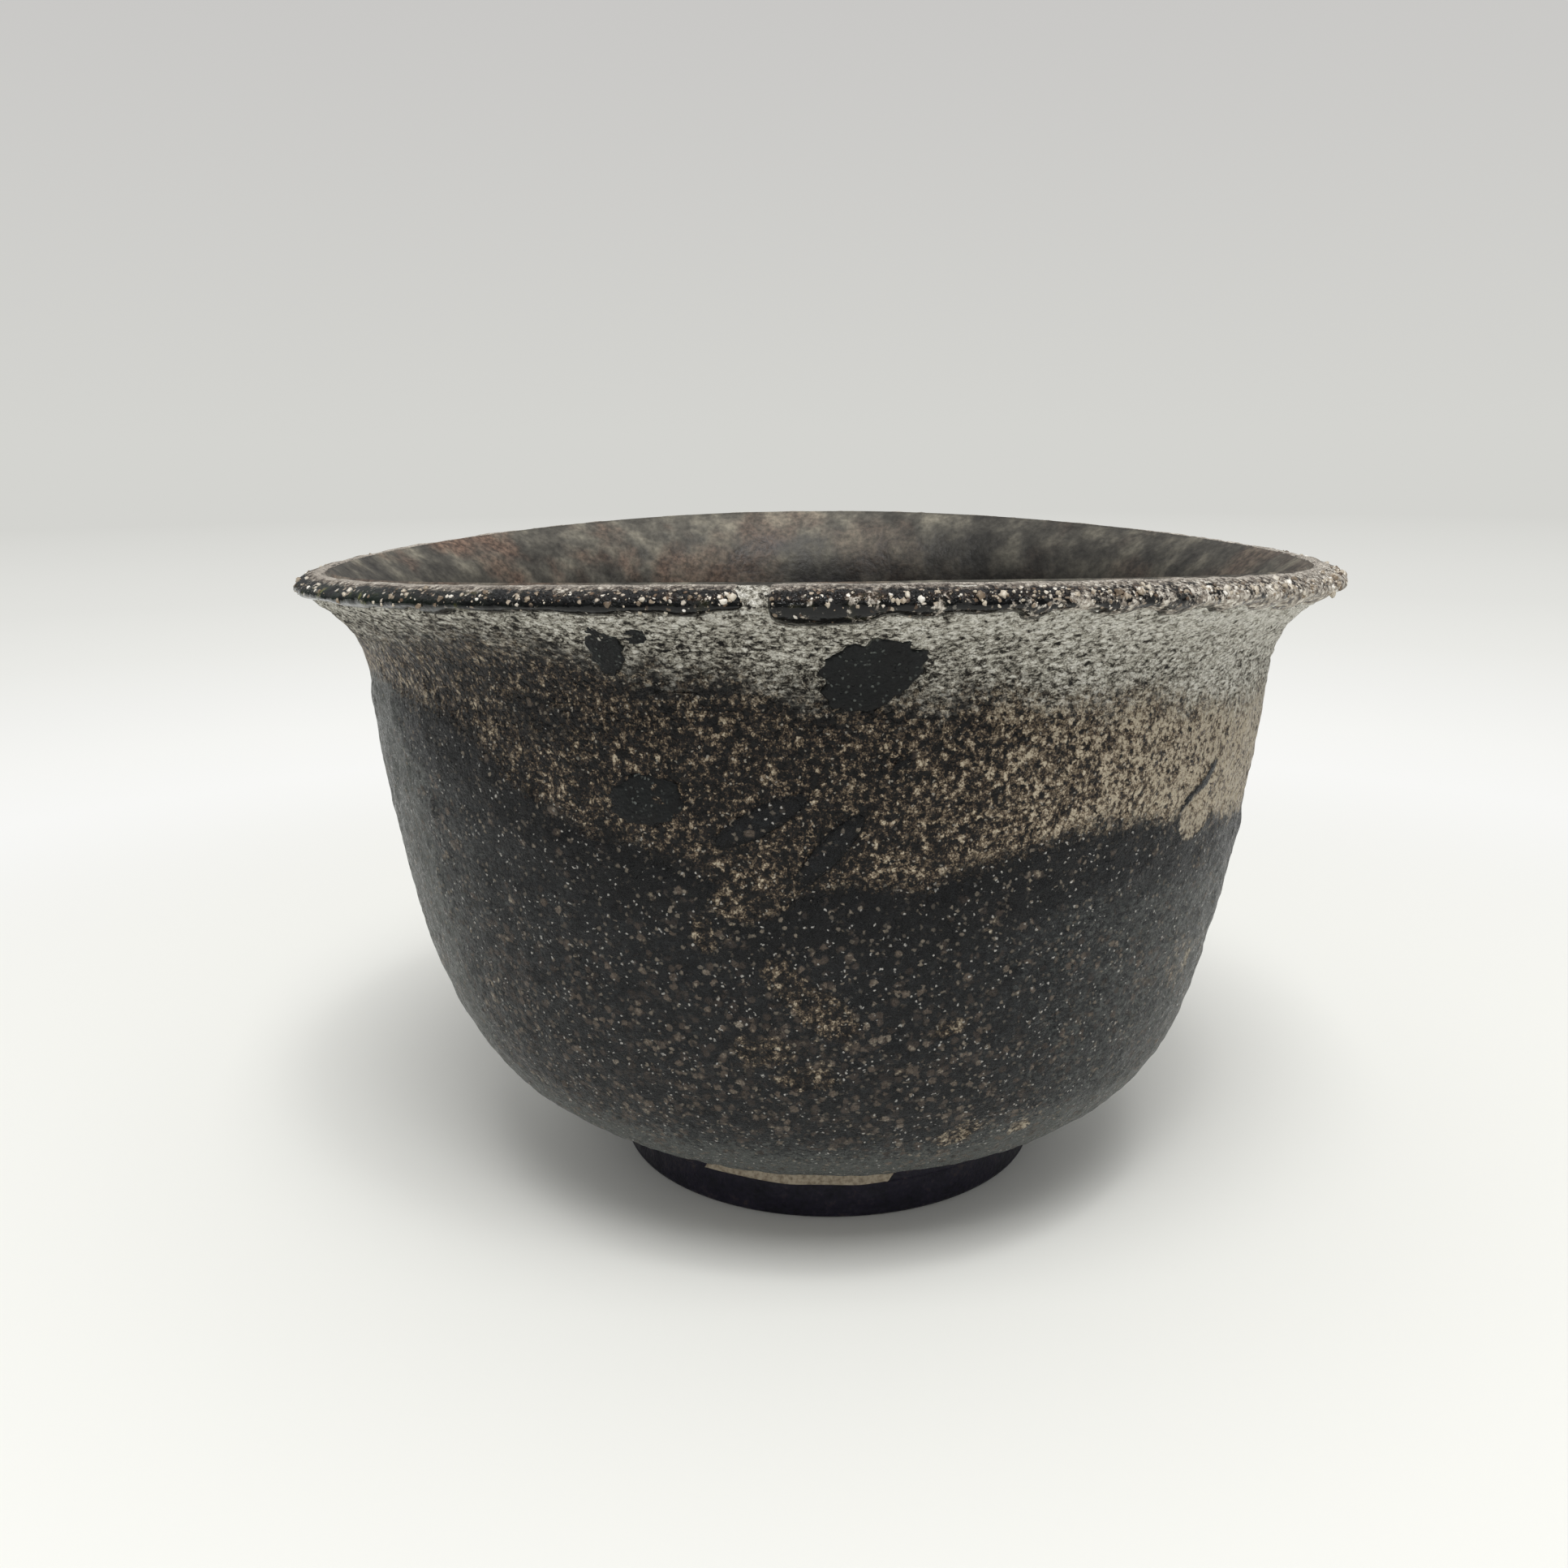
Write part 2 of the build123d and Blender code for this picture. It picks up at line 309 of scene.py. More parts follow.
class Sheet:
    """The nodes of one material or world, written one call a node."""

    def __init__(self, name: str, kind: str = "materials") -> None:
        """Start an empty sheet.

        Args:
            name: Name of the material or world.
            kind: Blender's list that it belongs to.
        """
        self.owner = getattr(bpy.data, kind).new(name)
        self.owner.use_nodes = True
        self.tree = self.owner.node_tree
        self.tree.nodes.clear()
        self.places = self.add("TexCoord").outputs
        self.place = self.places["Object"]

    def add(self, kind: str, inputs: dict | None = None, **settings: object) -> bpy.types.Node:
        """Add a node.

        Args:
            kind: Blender's name of the node type, without the ShaderNode in front.
            inputs: Sockets, by name or number, with a value or an output to link.
            settings: Properties of the node.

        Returns:
            The node.
        """
        node = self.tree.nodes.new("ShaderNode" + kind)
        for key, value in settings.items():
            setattr(node, key, value)
        for key, value in (inputs or {}).items():
            socket = node.inputs[key]
            if isinstance(value, Socket):
                self.tree.links.new(value, socket)
            else:
                socket.default_value = (*value, 1.0) if socket.type == "RGBA" else value
        return node

    def mark(self, name: str) -> Socket:
        """Read one of the piece's own values."""
        return self.add("Attribute", attribute_name=name).outputs["Fac"]

    def mapped(self, vector: Socket, factors: Triple, offset: Triple = (0, 0, 0)) -> Socket:
        """Scale and move coordinates."""
        return self.add("Mapping", {"Vector": vector, "Scale": factors, "Location": offset}).outputs["Vector"]

    def noise(self, size_mm: float, layers: float, rough: float, vector: Socket | None = None,
              bend: float = 0.0, output: str = "Fac") -> Socket:
        """Add a noise pattern.

        Args:
            size_mm: Size of its coarsest lumps.
            layers: Number of finer layers.
            rough: Strength of each finer layer.
            vector: Coordinates, if not the piece's own.
            bend: Distortion.
            output: Which of the pattern's outputs is read.

        Returns:
            The output, about 0.5 on average.
        """
        inputs = {"Vector": self.place if vector is None else vector, "Scale": 1 / (size_mm * MM)}
        inputs.update({"Detail": layers, "Roughness": rough, "Distortion": bend})
        return self.add("TexNoise", inputs).outputs[output]

    def warped(self, size_mm: float, reach_mm: float) -> Socket:
        """Push the object coordinates about at random, so that a pattern's outlines turn ragged."""
        parts = {0: self.noise(size_mm, 2.0, 0.5, output="Color"), 1: (2 * reach_mm * MM,) * 3, 2: self.place}
        return self.add("VectorMath", parts, operation="MULTIPLY_ADD").outputs[0]

    def grains(self, size_mm: float, vector: Socket, factors: Triple = (1, 1, 1)) -> Grains:
        """Add a pattern of grains with a dark gap round each.

        Args:
            size_mm: Mean distance between grains.
            vector: Coordinates.
            factors: Stretch on x, y and z.

        Returns:
            The grains' bodies and their random values.
        """
        place = self.mapped(vector, factors)
        cells = self.add("TexVoronoi", {"Vector": place, "Scale": 1 / (size_mm * MM)}).outputs
        lots = self.add("SeparateColor", {0: cells["Color"]}).outputs
        return Grains(self.span(cells["Distance"], 0.8, 0.4), *lots)

    def math(self, job: str, first: object, second: object = 0.0, third: object = 0.0) -> Socket:
        """Work out one value from two or three."""
        return self.add("Math", {0: first, 1: second, 2: third}, operation=job).outputs[0]

    def times(self, first: object, *others: object) -> Socket:
        """Multiply values.

        Args:
            first: The first value.
            others: What it is multiplied by.

        Returns:
            The product.
        """
        for other in others:
            first = self.math("MULTIPLY", first, other)
        return first

    def total(self, start: object, *parts: Weighted) -> Socket:
        """Add up patterns, each times its own weight, on top of a start value.

        Args:
            start: What the patterns are added to.
            parts: Pairs of a pattern and its weight.

        Returns:
            The sum.
        """
        for pattern, weight in parts:
            start = self.math("MULTIPLY_ADD", pattern, weight, start)
        return start

    def weighed(self, *parts: Weighted, mean: float = 0.0) -> Socket:
        """Add up patterns, each less 0.5 and times its own weight, about a mean."""
        return self.total(mean - 0.5 * sum(weight for _, weight in parts), *parts)

    def span(self, value: object, low: float, high: float, start: float = 0, end: float = 1) -> Socket:
        """Map a value smoothly from one range to another, clipped."""
        inputs = {"Value": value, "From Min": low, "From Max": high, "To Min": start, "To Max": end}
        return self.add("MapRange", inputs, interpolation_type="SMOOTHSTEP").outputs["Result"]

    def ramp(self, value: object, stops: Ramp) -> Socket:
        """Turn a value into a colour.

        Args:
            value: Value from 0 to 1.
            stops: Places, each with its screen colour, in order.

        Returns:
            The colour.
        """
        node = self.add("ValToRGB", {0: value})
        row = node.color_ramp.elements
        while len(row) < len(stops):
            row.new(0.5)
        for element, (place, *screen) in zip(row, stops):
            element.position = place
            element.color = (*srgb(*screen), 1.0)
        return node.outputs["Color"]

    def mix(self, share: object, first: object, second: object) -> Socket:
        """Blend two colours."""
        return self.add("Mix", {0: share, 6: first, 7: second}, data_type="RGBA").outputs[2]

    def blend(self, share: object, first: object, second: object) -> Socket:
        """Blend two values."""
        return self.add("Mix", {0: share, 2: first, 3: second}, data_type="FLOAT").outputs[0]

    def bump(self, height: object, depth_mm: float, strength: float, under: Socket | None = None) -> Socket:
        """Tilt the normal by a height pattern.

        Args:
            height: Pattern from 0 to 1.
            depth_mm: Real depth of the pattern.
            strength: Share of the effect.
            under: Normal of the bump beneath this one.

        Returns:
            The normal.
        """
        inputs = {"Height": height, "Distance": depth_mm * MM, "Strength": strength}
        if under is not None:
            inputs["Normal"] = under
        return self.add("Bump", inputs).outputs["Normal"]

    def finish(self, **sockets: object) -> bpy.types.Material:
        """Close the material with a Principled shader, its sockets named with underscores."""
        shader = self.add("BsdfPrincipled", {key.replace("_", " "): value for key, value in sockets.items()})
        return self.close(shader, "OutputMaterial")

    def close(self, shader: bpy.types.Node, kind: str) -> bpy.types.Material | bpy.types.World:
        """Join a shader to the output and give the finished material or world."""
        self.add(kind, {"Surface": shader.outputs[0]})
        return self.owner


@dataclass(frozen=True)
class ThrownForm:
    """The thrown clay: the outside drawn once, the lip's round, the wave and the foot's offset."""

    outline_mm: Stops = (
        (17.4, 5.1), (24.0, 7.5), (29.0, 12.9), (31.85, 21.1), (34.1, 33.3),
        (34.85, 40.1), (35.6, 44.4), (37.0, 46.3), (38.669, 47.707),
    )
    wall_at_neck_mm: float = 4.0
    wall_at_lip_mm: float = 2.0
    lip_round_mm: float = 1.0
    lip_radius_mm: float = 38.0
    lip_height_mm: float = 48.45
    lip_lean: float = 42.0
    rim_rise_mm: float = 0.85
    wave_start_mm: float = 36.0
    wave_full_mm: float = 44.4
    neck_height_mm: float = 5.1
    belly_height_mm: float = 21.1
    foot_offset_mm: float = 0.85

    def outside(self, share: Array) -> tuple[Array, Array, Array, Array]:
        """Follow the outside from the foot to the lip.

        The line is a natural cubic spline through the outline points by chord length: its
        second derivatives solve the usual three-term equations, with 0 at both ends.

        Args:
            share: Shares of the chord length, 0 at the foot and 1 at the lip.

        Returns:
            Radius, height, and the outward normal's radius and height parts.
        """
        points = np.array(self.outline_mm)
        steps = np.diff(points, axis=0)
        knots = np.append(0, np.cumsum(np.linalg.norm(steps, axis=1)))
        gaps = np.diff(knots)
        slopes = steps / gaps[:, None]
        system, right = np.eye(len(knots)), np.zeros_like(points)
        for row in range(1, len(knots) - 1):
            system[row, row - 1 : row + 2] = gaps[row - 1], 2 * (gaps[row - 1] + gaps[row]), gaps[row]
            right[row] = 6 * (slopes[row] - slopes[row - 1])
        bends = np.linalg.solve(system, right)
        at = np.clip(share, 0, 1) * knots[-1]
        cell = np.clip(np.searchsorted(knots, at, side="right") - 1, 0, len(gaps) - 1)
        gap = gaps[cell][..., None]
        part = (at - knots[cell])[..., None]
        rest = gap - part
        low, high = bends[cell], bends[cell + 1]
        place = (low * rest**3 + high * part**3) / (6 * gap)
        straight = (points[cell] / gap - low * gap / 6) * rest
        straight += (points[cell + 1] / gap - high * gap / 6) * part
        place += straight
        along = (high * part**2 - low * rest**2) / (2 * gap) + slopes[cell] - gap * (high - low) / 6
        along /= np.linalg.norm(along, axis=-1, keepdims=True)
        return place[..., 0], place[..., 1], along[..., 1], -along[..., 0]

    def share_at(self, height_mm: Array) -> Array:
        """Find the share of the outline at a height, from a fine table of the line itself."""
        shares = np.linspace(0, 1, 801)
        return np.interp(height_mm, self.outside(shares)[1], shares)

    def inside(self, share: Array, inwards_mm: float) -> tuple[Array, Array]:
        """Follow the inside of the wall, or a line further into the cup.

        Args:
            share: Shares of the outside's length, 0 at the foot and 1 at the lip.
            inwards_mm: How far the line lies inside the wall.

        Returns:
            Radius and height.
        """
        radius, height, out, up = self.outside(share)
        wall = self.wall_at_neck_mm + (self.wall_at_lip_mm - self.wall_at_neck_mm) * share + inwards_mm
        return radius - wall * out, height - wall * up

    def lip(self, angle: Array, growth_mm: float = 0.0) -> tuple[Array, Array]:
        """Follow the round of the lip, or one that is larger, at angles above the horizontal."""
        angle, reach = np.radians(angle), self.lip_round_mm + growth_mm
        return self.lip_radius_mm + reach * np.cos(angle), self.lip_height_mm + reach * np.sin(angle)

    def place(self, turn: Array, radius_mm: Array, height_mm: Array) -> Array:
        """Carry a section round the cup.

        The foot's offset fades to 0 at the belly, and the lip's wave, a cosine twice round,
        is eased in above the shoulder.

        Args:
            turn: Angles from the front.
            radius_mm: Radii.
            height_mm: Heights before the wave.

        Returns:
            Points in millimetres, with x, y and z on the last axis.
        """
        offset = self.foot_offset_mm * (1 - ease(height_mm, self.neck_height_mm, self.belly_height_mm))
        wave = self.rim_rise_mm * np.cos(2 * np.radians(turn))
        lift = ease(height_mm, self.wave_start_mm, self.wave_full_mm) * wave
        return carried(turn, radius_mm, height_mm + lift, offset)


@dataclass(frozen=True)
class Patch:
    """A soft oval on the outside wall: centre angle and height, half sizes, tilt and strength."""

    turn: float
    height_mm: float
    half_width_mm: float
    half_height_mm: float
    tilt: float
    strength: float

    def cover(self, turn: Array, height_mm: Array, radius_mm: float) -> Array:
        """Say how much of the oval covers each place.

        With u and v the distances along its two axes over the half sizes, the cover is the
        strength times e to the minus (u squared plus v squared) squared.

        Args:
            turn: Angles from the front.
            height_mm: Heights.
            radius_mm: Radius that turns angles into distances.

        Returns:
            Values from 0 to the strength.
        """
        across = np.radians(short_way(turn, self.turn)) * radius_mm
        upwards = height_mm - self.height_mm
        tilt = radians(self.tilt)
        u = (across * np.cos(tilt) + upwards * np.sin(tilt)) / self.half_width_mm
        v = (upwards * np.cos(tilt) - across * np.sin(tilt)) / self.half_height_mm
        return self.strength * np.exp(-((u * u + v * v) ** 2))


@dataclass(frozen=True)
class FireMarks:
    """Where the kiln left ash, dark coat and bare speckled clay on the outside wall.

    Edges are heights at angles. Warmth, haze and cloud side are given at angles too: warmth is
    how brown and pale the clay is, partly its own colour and partly painted light on the cup's sides;
    haze is how grey the coat is, partly its own grey and partly painted reflection near the edges;
    and cloud side is how brown the coat's clouds are.
    """

    coat_edge: Stops = (
        (-150, 38.0), (-90, 40.5), (-60, 41.5), (-45, 40.5), (-36, 37.0), (-26, 34.0), (-20, 33.6),
        (-13, 32.4), (-8, 30.3), (-3, 31.6), (10, 31.6), (18, 32.9), (30, 34.5), (42, 34.0),
        (59, 32.7), (95, 30.5), (150, 33.0),
    )
    ash_edge: Stops = (
        (-150, 45.0), (-60, 44.6), (-45, 45.6), (-34, 45.9), (-26, 45.2), (-18, 44.2),
        (-6, 43.8), (2, 43.1), (26, 42.7), (38, 42.4), (52, 41.3), (100, 41.0), (150, 43.5),
    )
    # Warmth: how brown and pale the clay is, at angles. Part is the clay's own colour; the rise to the right
    # and near -75 degrees is also painted light on the cup's sides.
    warmth_and_side_light: Stops = (
        (-180, 0.5), (-75, 1.6), (-60, 1.1), (-42, 0.2), (-20, 0.1), (0, 0.2), (10, 0.5), (20, 1.15),
        (35, 2.15), (50, 2.85), (65, 3.0), (90, 1.7), (130, 0.6),
    )
    # Haze: how grey the coat is, at angles. Part is its own grey; the high values near -70 and 60 degrees are
    # painted reflection near the cup's edges.
    grey_haze_and_edge_reflection: Stops = (
        (-180, 0.9), (-130, 0.9), (-75, 3.6), (-62, 3.6), (-50, 1.2), (-38, 0.6), (-20, 0.25),
        (12, 0.12), (32, 1.2), (60, 2.0), (90, 1.2),
    )
    cloud_side: Stops = (
        (-180, 0.6), (-75, 0.35), (-40, 0.7), (-15, 1.0), (5, 0.95), (20, 0.5), (40, 0.35), (75, 0.6),
        (130, 0.5),
    )
    tan_patches: tuple[Patch, ...] = (
        Patch(-7.5, 31.0, 2.4, 1.5, 15, 1.5), Patch(-13.5, 28.2, 0.6, 1.4, 10, 0.9),
        Patch(47.0, 34.0, 2.0, 1.6, 30, 1.1), Patch(-4.5, 25.0, 1.9, 1.2, -50, 0.75),
        Patch(-0.5, 22.9, 2.6, 1.3, -40, 1.0), Patch(-7.8, 20.0, 2.4, 1.2, -10, 0.7),
        Patch(-2.1, 17.8, 2.4, 1.0, 0, 0.7), Patch(17.5, 12.4, 2.2, 0.9, 15, 0.9),
        Patch(27.0, 12.0, 1.2, 0.7, 0, 0.7), Patch(14.0, 21.5, 1.6, 0.8, 20, 0.5),
        Patch(52.0, 22.0, 4.0, 3.2, 30, 0.2), Patch(150.0, 24.0, 6.0, 2.0, 20, 0.7),
        Patch(-120.0, 20.0, 5.0, 1.6, -15, 0.6),
    )
    dark_streaks: tuple[Patch, ...] = (
        Patch(-7.0, 35.8, 3.1, 0.8, 30, 1.3), Patch(0.0, 34.0, 2.9, 0.75, 50, 1.3),
        Patch(7.0, 39.3, 1.1, 0.35, 35, 0.55), Patch(46.5, 35.9, 2.8, 0.6, 38, 0.6),
        Patch(-17.0, 42.8, 4.0, 0.6, 5, 0.4), Patch(-31.0, 41.0, 4.0, 1.6, 0, 0.36),
        Patch(170.0, 38.0, 3.0, 0.8, 40, 1.0),
    )
    streak_depth_mm: float = 6.5
    streak_rim_mm: float = 2.2
    deepest_mm: float = 6.0
    radius_mm: float = 34.0
    tilt_mm: float = 0.7

    def covered(self, patches: tuple[Patch, ...], turn: Array, height_mm: Array) -> Array:
        """Give the most that any of the patches covers each place."""
        return np.max([patch.cover(turn, height_mm, self.radius_mm) for patch in patches], axis=0)

    def marks(self, turn: Array, height_mm: Array) -> dict[str, Array]:
        """Collect what the wall's finish reads, with the marks tilted up on the left.

        The coat's depth counts down from its edge, or is what a streak gives where that is
        more. The ash's counts up from its edge. Brown clouds lie low down on the coat.

        Args:
            turn: Angles from the front, as a row.
            height_mm: Heights before the wave, as a column.

        Returns:
            A value for each height and angle, by name.
        """
        height = height_mm + self.tilt_mm * np.sin(np.radians(turn))
        streaks = self.streak_depth_mm * self.covered(self.dark_streaks, turn, height) - self.streak_rim_mm
        coat = np.maximum(around(turn, self.coat_edge) - height, streaks)
        tan = self.covered(self.tan_patches, turn, height)
        low = ease(-height, -29.0, -20.0) * ease(height, 8.0, 13.0)
        return {
            "coat_depth": np.clip(coat, -self.deepest_mm, self.deepest_mm),
            "ash_depth": np.clip(height - around(turn, self.ash_edge), -self.deepest_mm, self.deepest_mm),
            "tan": tan,
            "warmth_and_side_light": around(turn, self.warmth_and_side_light) + 0 * height,
            "brown": np.clip(low * around(turn, self.cloud_side) + 0.5 * tan, 0, 1),
            "grey_haze_and_edge_reflection": around(turn, self.grey_haze_and_edge_reflection) + 0 * height,
            "height": height,
        }


@dataclass(frozen=True)
class FiredWallFinish:
    """Speckled clay, dark coat and flaky ash, blended at ragged edges; glints and a highlight are painted."""

    clay: Ramp = (
        (0.0, 4, 4, 4), (0.22, 14, 11, 10), (0.4, 40, 32, 25), (0.58, 84, 71, 56), (0.78, 130, 116, 96),
        (1.0, 184, 172, 150),
    )
    ash: Ramp = (
        (0.0, 14, 13, 12), (0.2, 46, 43, 38), (0.4, 118, 114, 104), (0.62, 178, 174, 161),
        (1.0, 232, 229, 219),
    )
    coat: Ramp = ((0.0, 2, 3, 5), (0.4, 11, 13, 16), (0.7, 30, 33, 35), (1.0, 80, 83, 80))
    crumbs: Ramp = ((0.0, 34, 29, 27), (0.5, 66, 57, 50), (0.85, 106, 94, 82), (1.0, 172, 163, 147))
    pale_sand: Triple = srgb(126, 117, 104)
    # Painted glints: near-white colours for tiny spots of light on the coat and on the clay.
    painted_glint_on_coat: Triple = srgb(206, 203, 196)
    painted_glint_on_clay: Triple = srgb(212, 204, 188)

    def material(self) -> bpy.types.Material:
        """Build the finish: grain patterns, each with its own colours, and ragged masks.

        Returns:
            The material of the bowl and of its coat.
        """
        sheet = Sheet("fired_wall")
        coat_depth, ash_depth, warmth_and_side_light = (sheet.mark(name) for name in ("coat_depth", "ash_depth", "warmth_and_side_light"))
        broad, patchy = sheet.noise(5.0, 3, 0.55), sheet.noise(1.6, 2, 0.6)
        mottle, fine = sheet.noise(0.45, 2, 0.6), sheet.noise(0.11, 3, 0.7)
        combing = sheet.noise(0.7, 4, 0.7, sheet.mapped(sheet.place, (1, 1, 4.0), (0.01, 0.02, 0.03)))
        flakes = sheet.noise(0.55, 4, 0.7, sheet.mapped(sheet.place, (1, 1, 2.0)), 0.6)
        warped = sheet.warped(0.28, 0.16)
        chips, sand, painted_glint_grains = (sheet.grains(size_mm, warped) for size_mm in (0.5, 0.27, 0.15))
        scales = sheet.grains(0.42, warped, (1, 1, 2.1))
        sand_tone, chip_tone, scale_tone = (
            sheet.times(kind.body, kind.tone) for kind in (sand, chips, scales)
        )
        # Painted glints: a few tiny grains, blended below towards near-white, stand in for sparkles of light.
        glint = sheet.times(painted_glint_grains.body, sheet.span(painted_glint_grains.lot, 0.972, 0.985))
        rough_edge = sheet.weighed((broad, 5.0), (patchy, 4.0), (mottle, 3.0), (sand.tone, 1.2))
        near_edge = sheet.span(coat_depth, 6.0, 2.5)

        chosen = sheet.times(chips.body, sheet.span(chips.lot, 0.62, 0.7))
        hole = sheet.times(sand.body, sheet.span(sand.last, 0.7, 0.75))
        shade = sheet.weighed((mottle, 1.7), (patchy, 0.6), (fine, 1.9), mean=0.015)
        # The warmth term is partly painted side light, on the clay here and a little on the ash below.
        shade = sheet.total(shade, (sand_tone, 0.34), (chip_tone, 0.3), (chosen, 0.12), (hole, -0.44),
                            (warmth_and_side_light, 0.24), (sheet.span(coat_depth, -4.5, -0.5), 0.12))
        clay = sheet.mix(sheet.times(glint, 0.4), sheet.ramp(shade, self.clay), self.painted_glint_on_clay)

        low = sheet.span(sheet.mark("height"), 15.0, 7.0)
        shade = sheet.weighed((combing, 1.0), (fine, 0.7), (sand.tone, 0.4), mean=0.3)
        # The haze term lightens the coat: its own grey, and painted reflection near the edges.
        shade = sheet.total(shade, (low, 0.92), (sheet.mark("grey_haze_and_edge_reflection"), 0.34), (near_edge, -0.32))
        cloud = sheet.total(sheet.weighed((patchy, 1.3), (broad, 1.3)), (sheet.mark("brown"), 0.5))
        picked = sheet.span(sheet.total(chips.lot, (cloud, 0.75), (near_edge, -0.1)), 0.86, 0.98)
        crumb = sheet.total(sheet.weighed((fine, 0.5), (mottle, 0.3)), (chips.tone, 0.9))
        coat = sheet.mix(sheet.times(picked, chips.body, 0.85), sheet.ramp(shade, self.coat),
                         sheet.ramp(crumb, self.crumbs))
        speck = sheet.times(sand.body, sheet.span(sand.lot, 0.88, 0.93), sand.last)
        coat = sheet.mix(sheet.times(glint, 0.7), sheet.mix(speck, coat, self.pale_sand), self.painted_glint_on_coat)

        # Painted highlight: the ash is made paler in a band just under the lip roll, from 46.2 to 47.2 mm.
        crest = sheet.span(sheet.mark("height"), 46.2, 47.2)
        shade = sheet.weighed((flakes, 2.7), (fine, 1.2), (broad, 0.4), mean=0.28)
        shade = sheet.total(shade, (scale_tone, 0.45), (hole, -0.15), (ash_depth, 0.03), (warmth_and_side_light, 0.08),
                            (crest, 0.12))

        tan_mask = sheet.span(sheet.total(sheet.mark("tan"), (rough_edge, 0.16)), 0.2, 0.5)
        coat_mask = sheet.span(sheet.total(coat_depth, (rough_edge, 0.7)), -0.6, 0.6)
        coat_mask = sheet.times(coat_mask, sheet.total(1.0, (tan_mask, -0.85)))
        ash_mask = sheet.span(sheet.total(ash_depth, (rough_edge, 0.65)), -1.7, 1.7)
        colour = sheet.mix(ash_mask, sheet.mix(coat_mask, clay, coat), sheet.ramp(shade, self.ash))
        gloss = sheet.blend(ash_mask, sheet.blend(coat_mask, 0.46, 0.32), 0.75)
        gloss = sheet.math("ADD", gloss, sheet.weighed((sand.lot, 0.25), (fine, 0.3)))
        stony = sheet.total(sheet.times(sand.body, sheet.math("ADD", sand.lot, 0.3)), (chip_tone, 0.9))
        level = sheet.times(sheet.total(flakes, (scale_tone, 0.5)), ash_mask)
        pitted = sheet.math("ADD", level, sheet.times(combing, coat_mask))
        normal = sheet.bump(fine, 0.05, 1.0, sheet.bump(pitted, 0.22, 1.0, sheet.bump(stony, 0.1, 1.0)))
        return sheet.finish(Base_Color=colour, Roughness=gloss, Normal=normal, IOR=1.5,
                            Specular_IOR_Level=0.25)


@dataclass(frozen=True)
class LinerFinish:
    """Thin glaze inside: grey-olive under the lip, rust and pale clouds, dark below."""

    upper: Ramp = ((0.3, 48, 46, 42), (0.5, 78, 75, 68), (0.72, 122, 117, 104))
    rust: Ramp = ((0.3, 62, 48, 41), (0.7, 116, 94, 79))
    deep: Ramp = ((0.3, 20, 18, 21), (0.7, 44, 40, 42))

    def material(self) -> bpy.types.Material:
        """Build the finish from the height and the marks round the cup.

        Returns:
            The material of the liner.
        """
        sheet = Sheet("liner_glaze")
        broad, clouds, grain = sheet.noise(9.0, 3, 0.55), sheet.noise(3.2, 3, 0.6), sheet.noise(0.5, 3, 0.6)
        ragged = sheet.math("ADD", sheet.mark("height"), sheet.weighed((broad, 12.0), (clouds, 6.0)))
        rusty = sheet.times(sheet.span(broad, 0.46, 0.62), sheet.mark("rust"))
        colour = sheet.mix(rusty, sheet.ramp(clouds, self.upper), sheet.ramp(grain, self.rust))
        colour = sheet.mix(sheet.span(ragged, 37.5, 44.0, 1.0, 0.0), colour, sheet.ramp(grain, self.deep))
        speckle = sheet.times(sheet.span(grain, 0.3, 0.7, 0.75, 1.2), sheet.mark("pale"))
        tint = sheet.add("VectorMath", {0: colour, "Scale": speckle}, operation="SCALE").outputs[0]
        normal = sheet.bump(grain, 0.1, 0.7, sheet.bump(clouds, 0.35, 0.6))
        gloss = sheet.span(clouds, 0.3, 0.7, 0.42, 0.62)
        return sheet.finish(Base_Color=tint, Roughness=gloss, Normal=normal, Specular_IOR_Level=0.3)


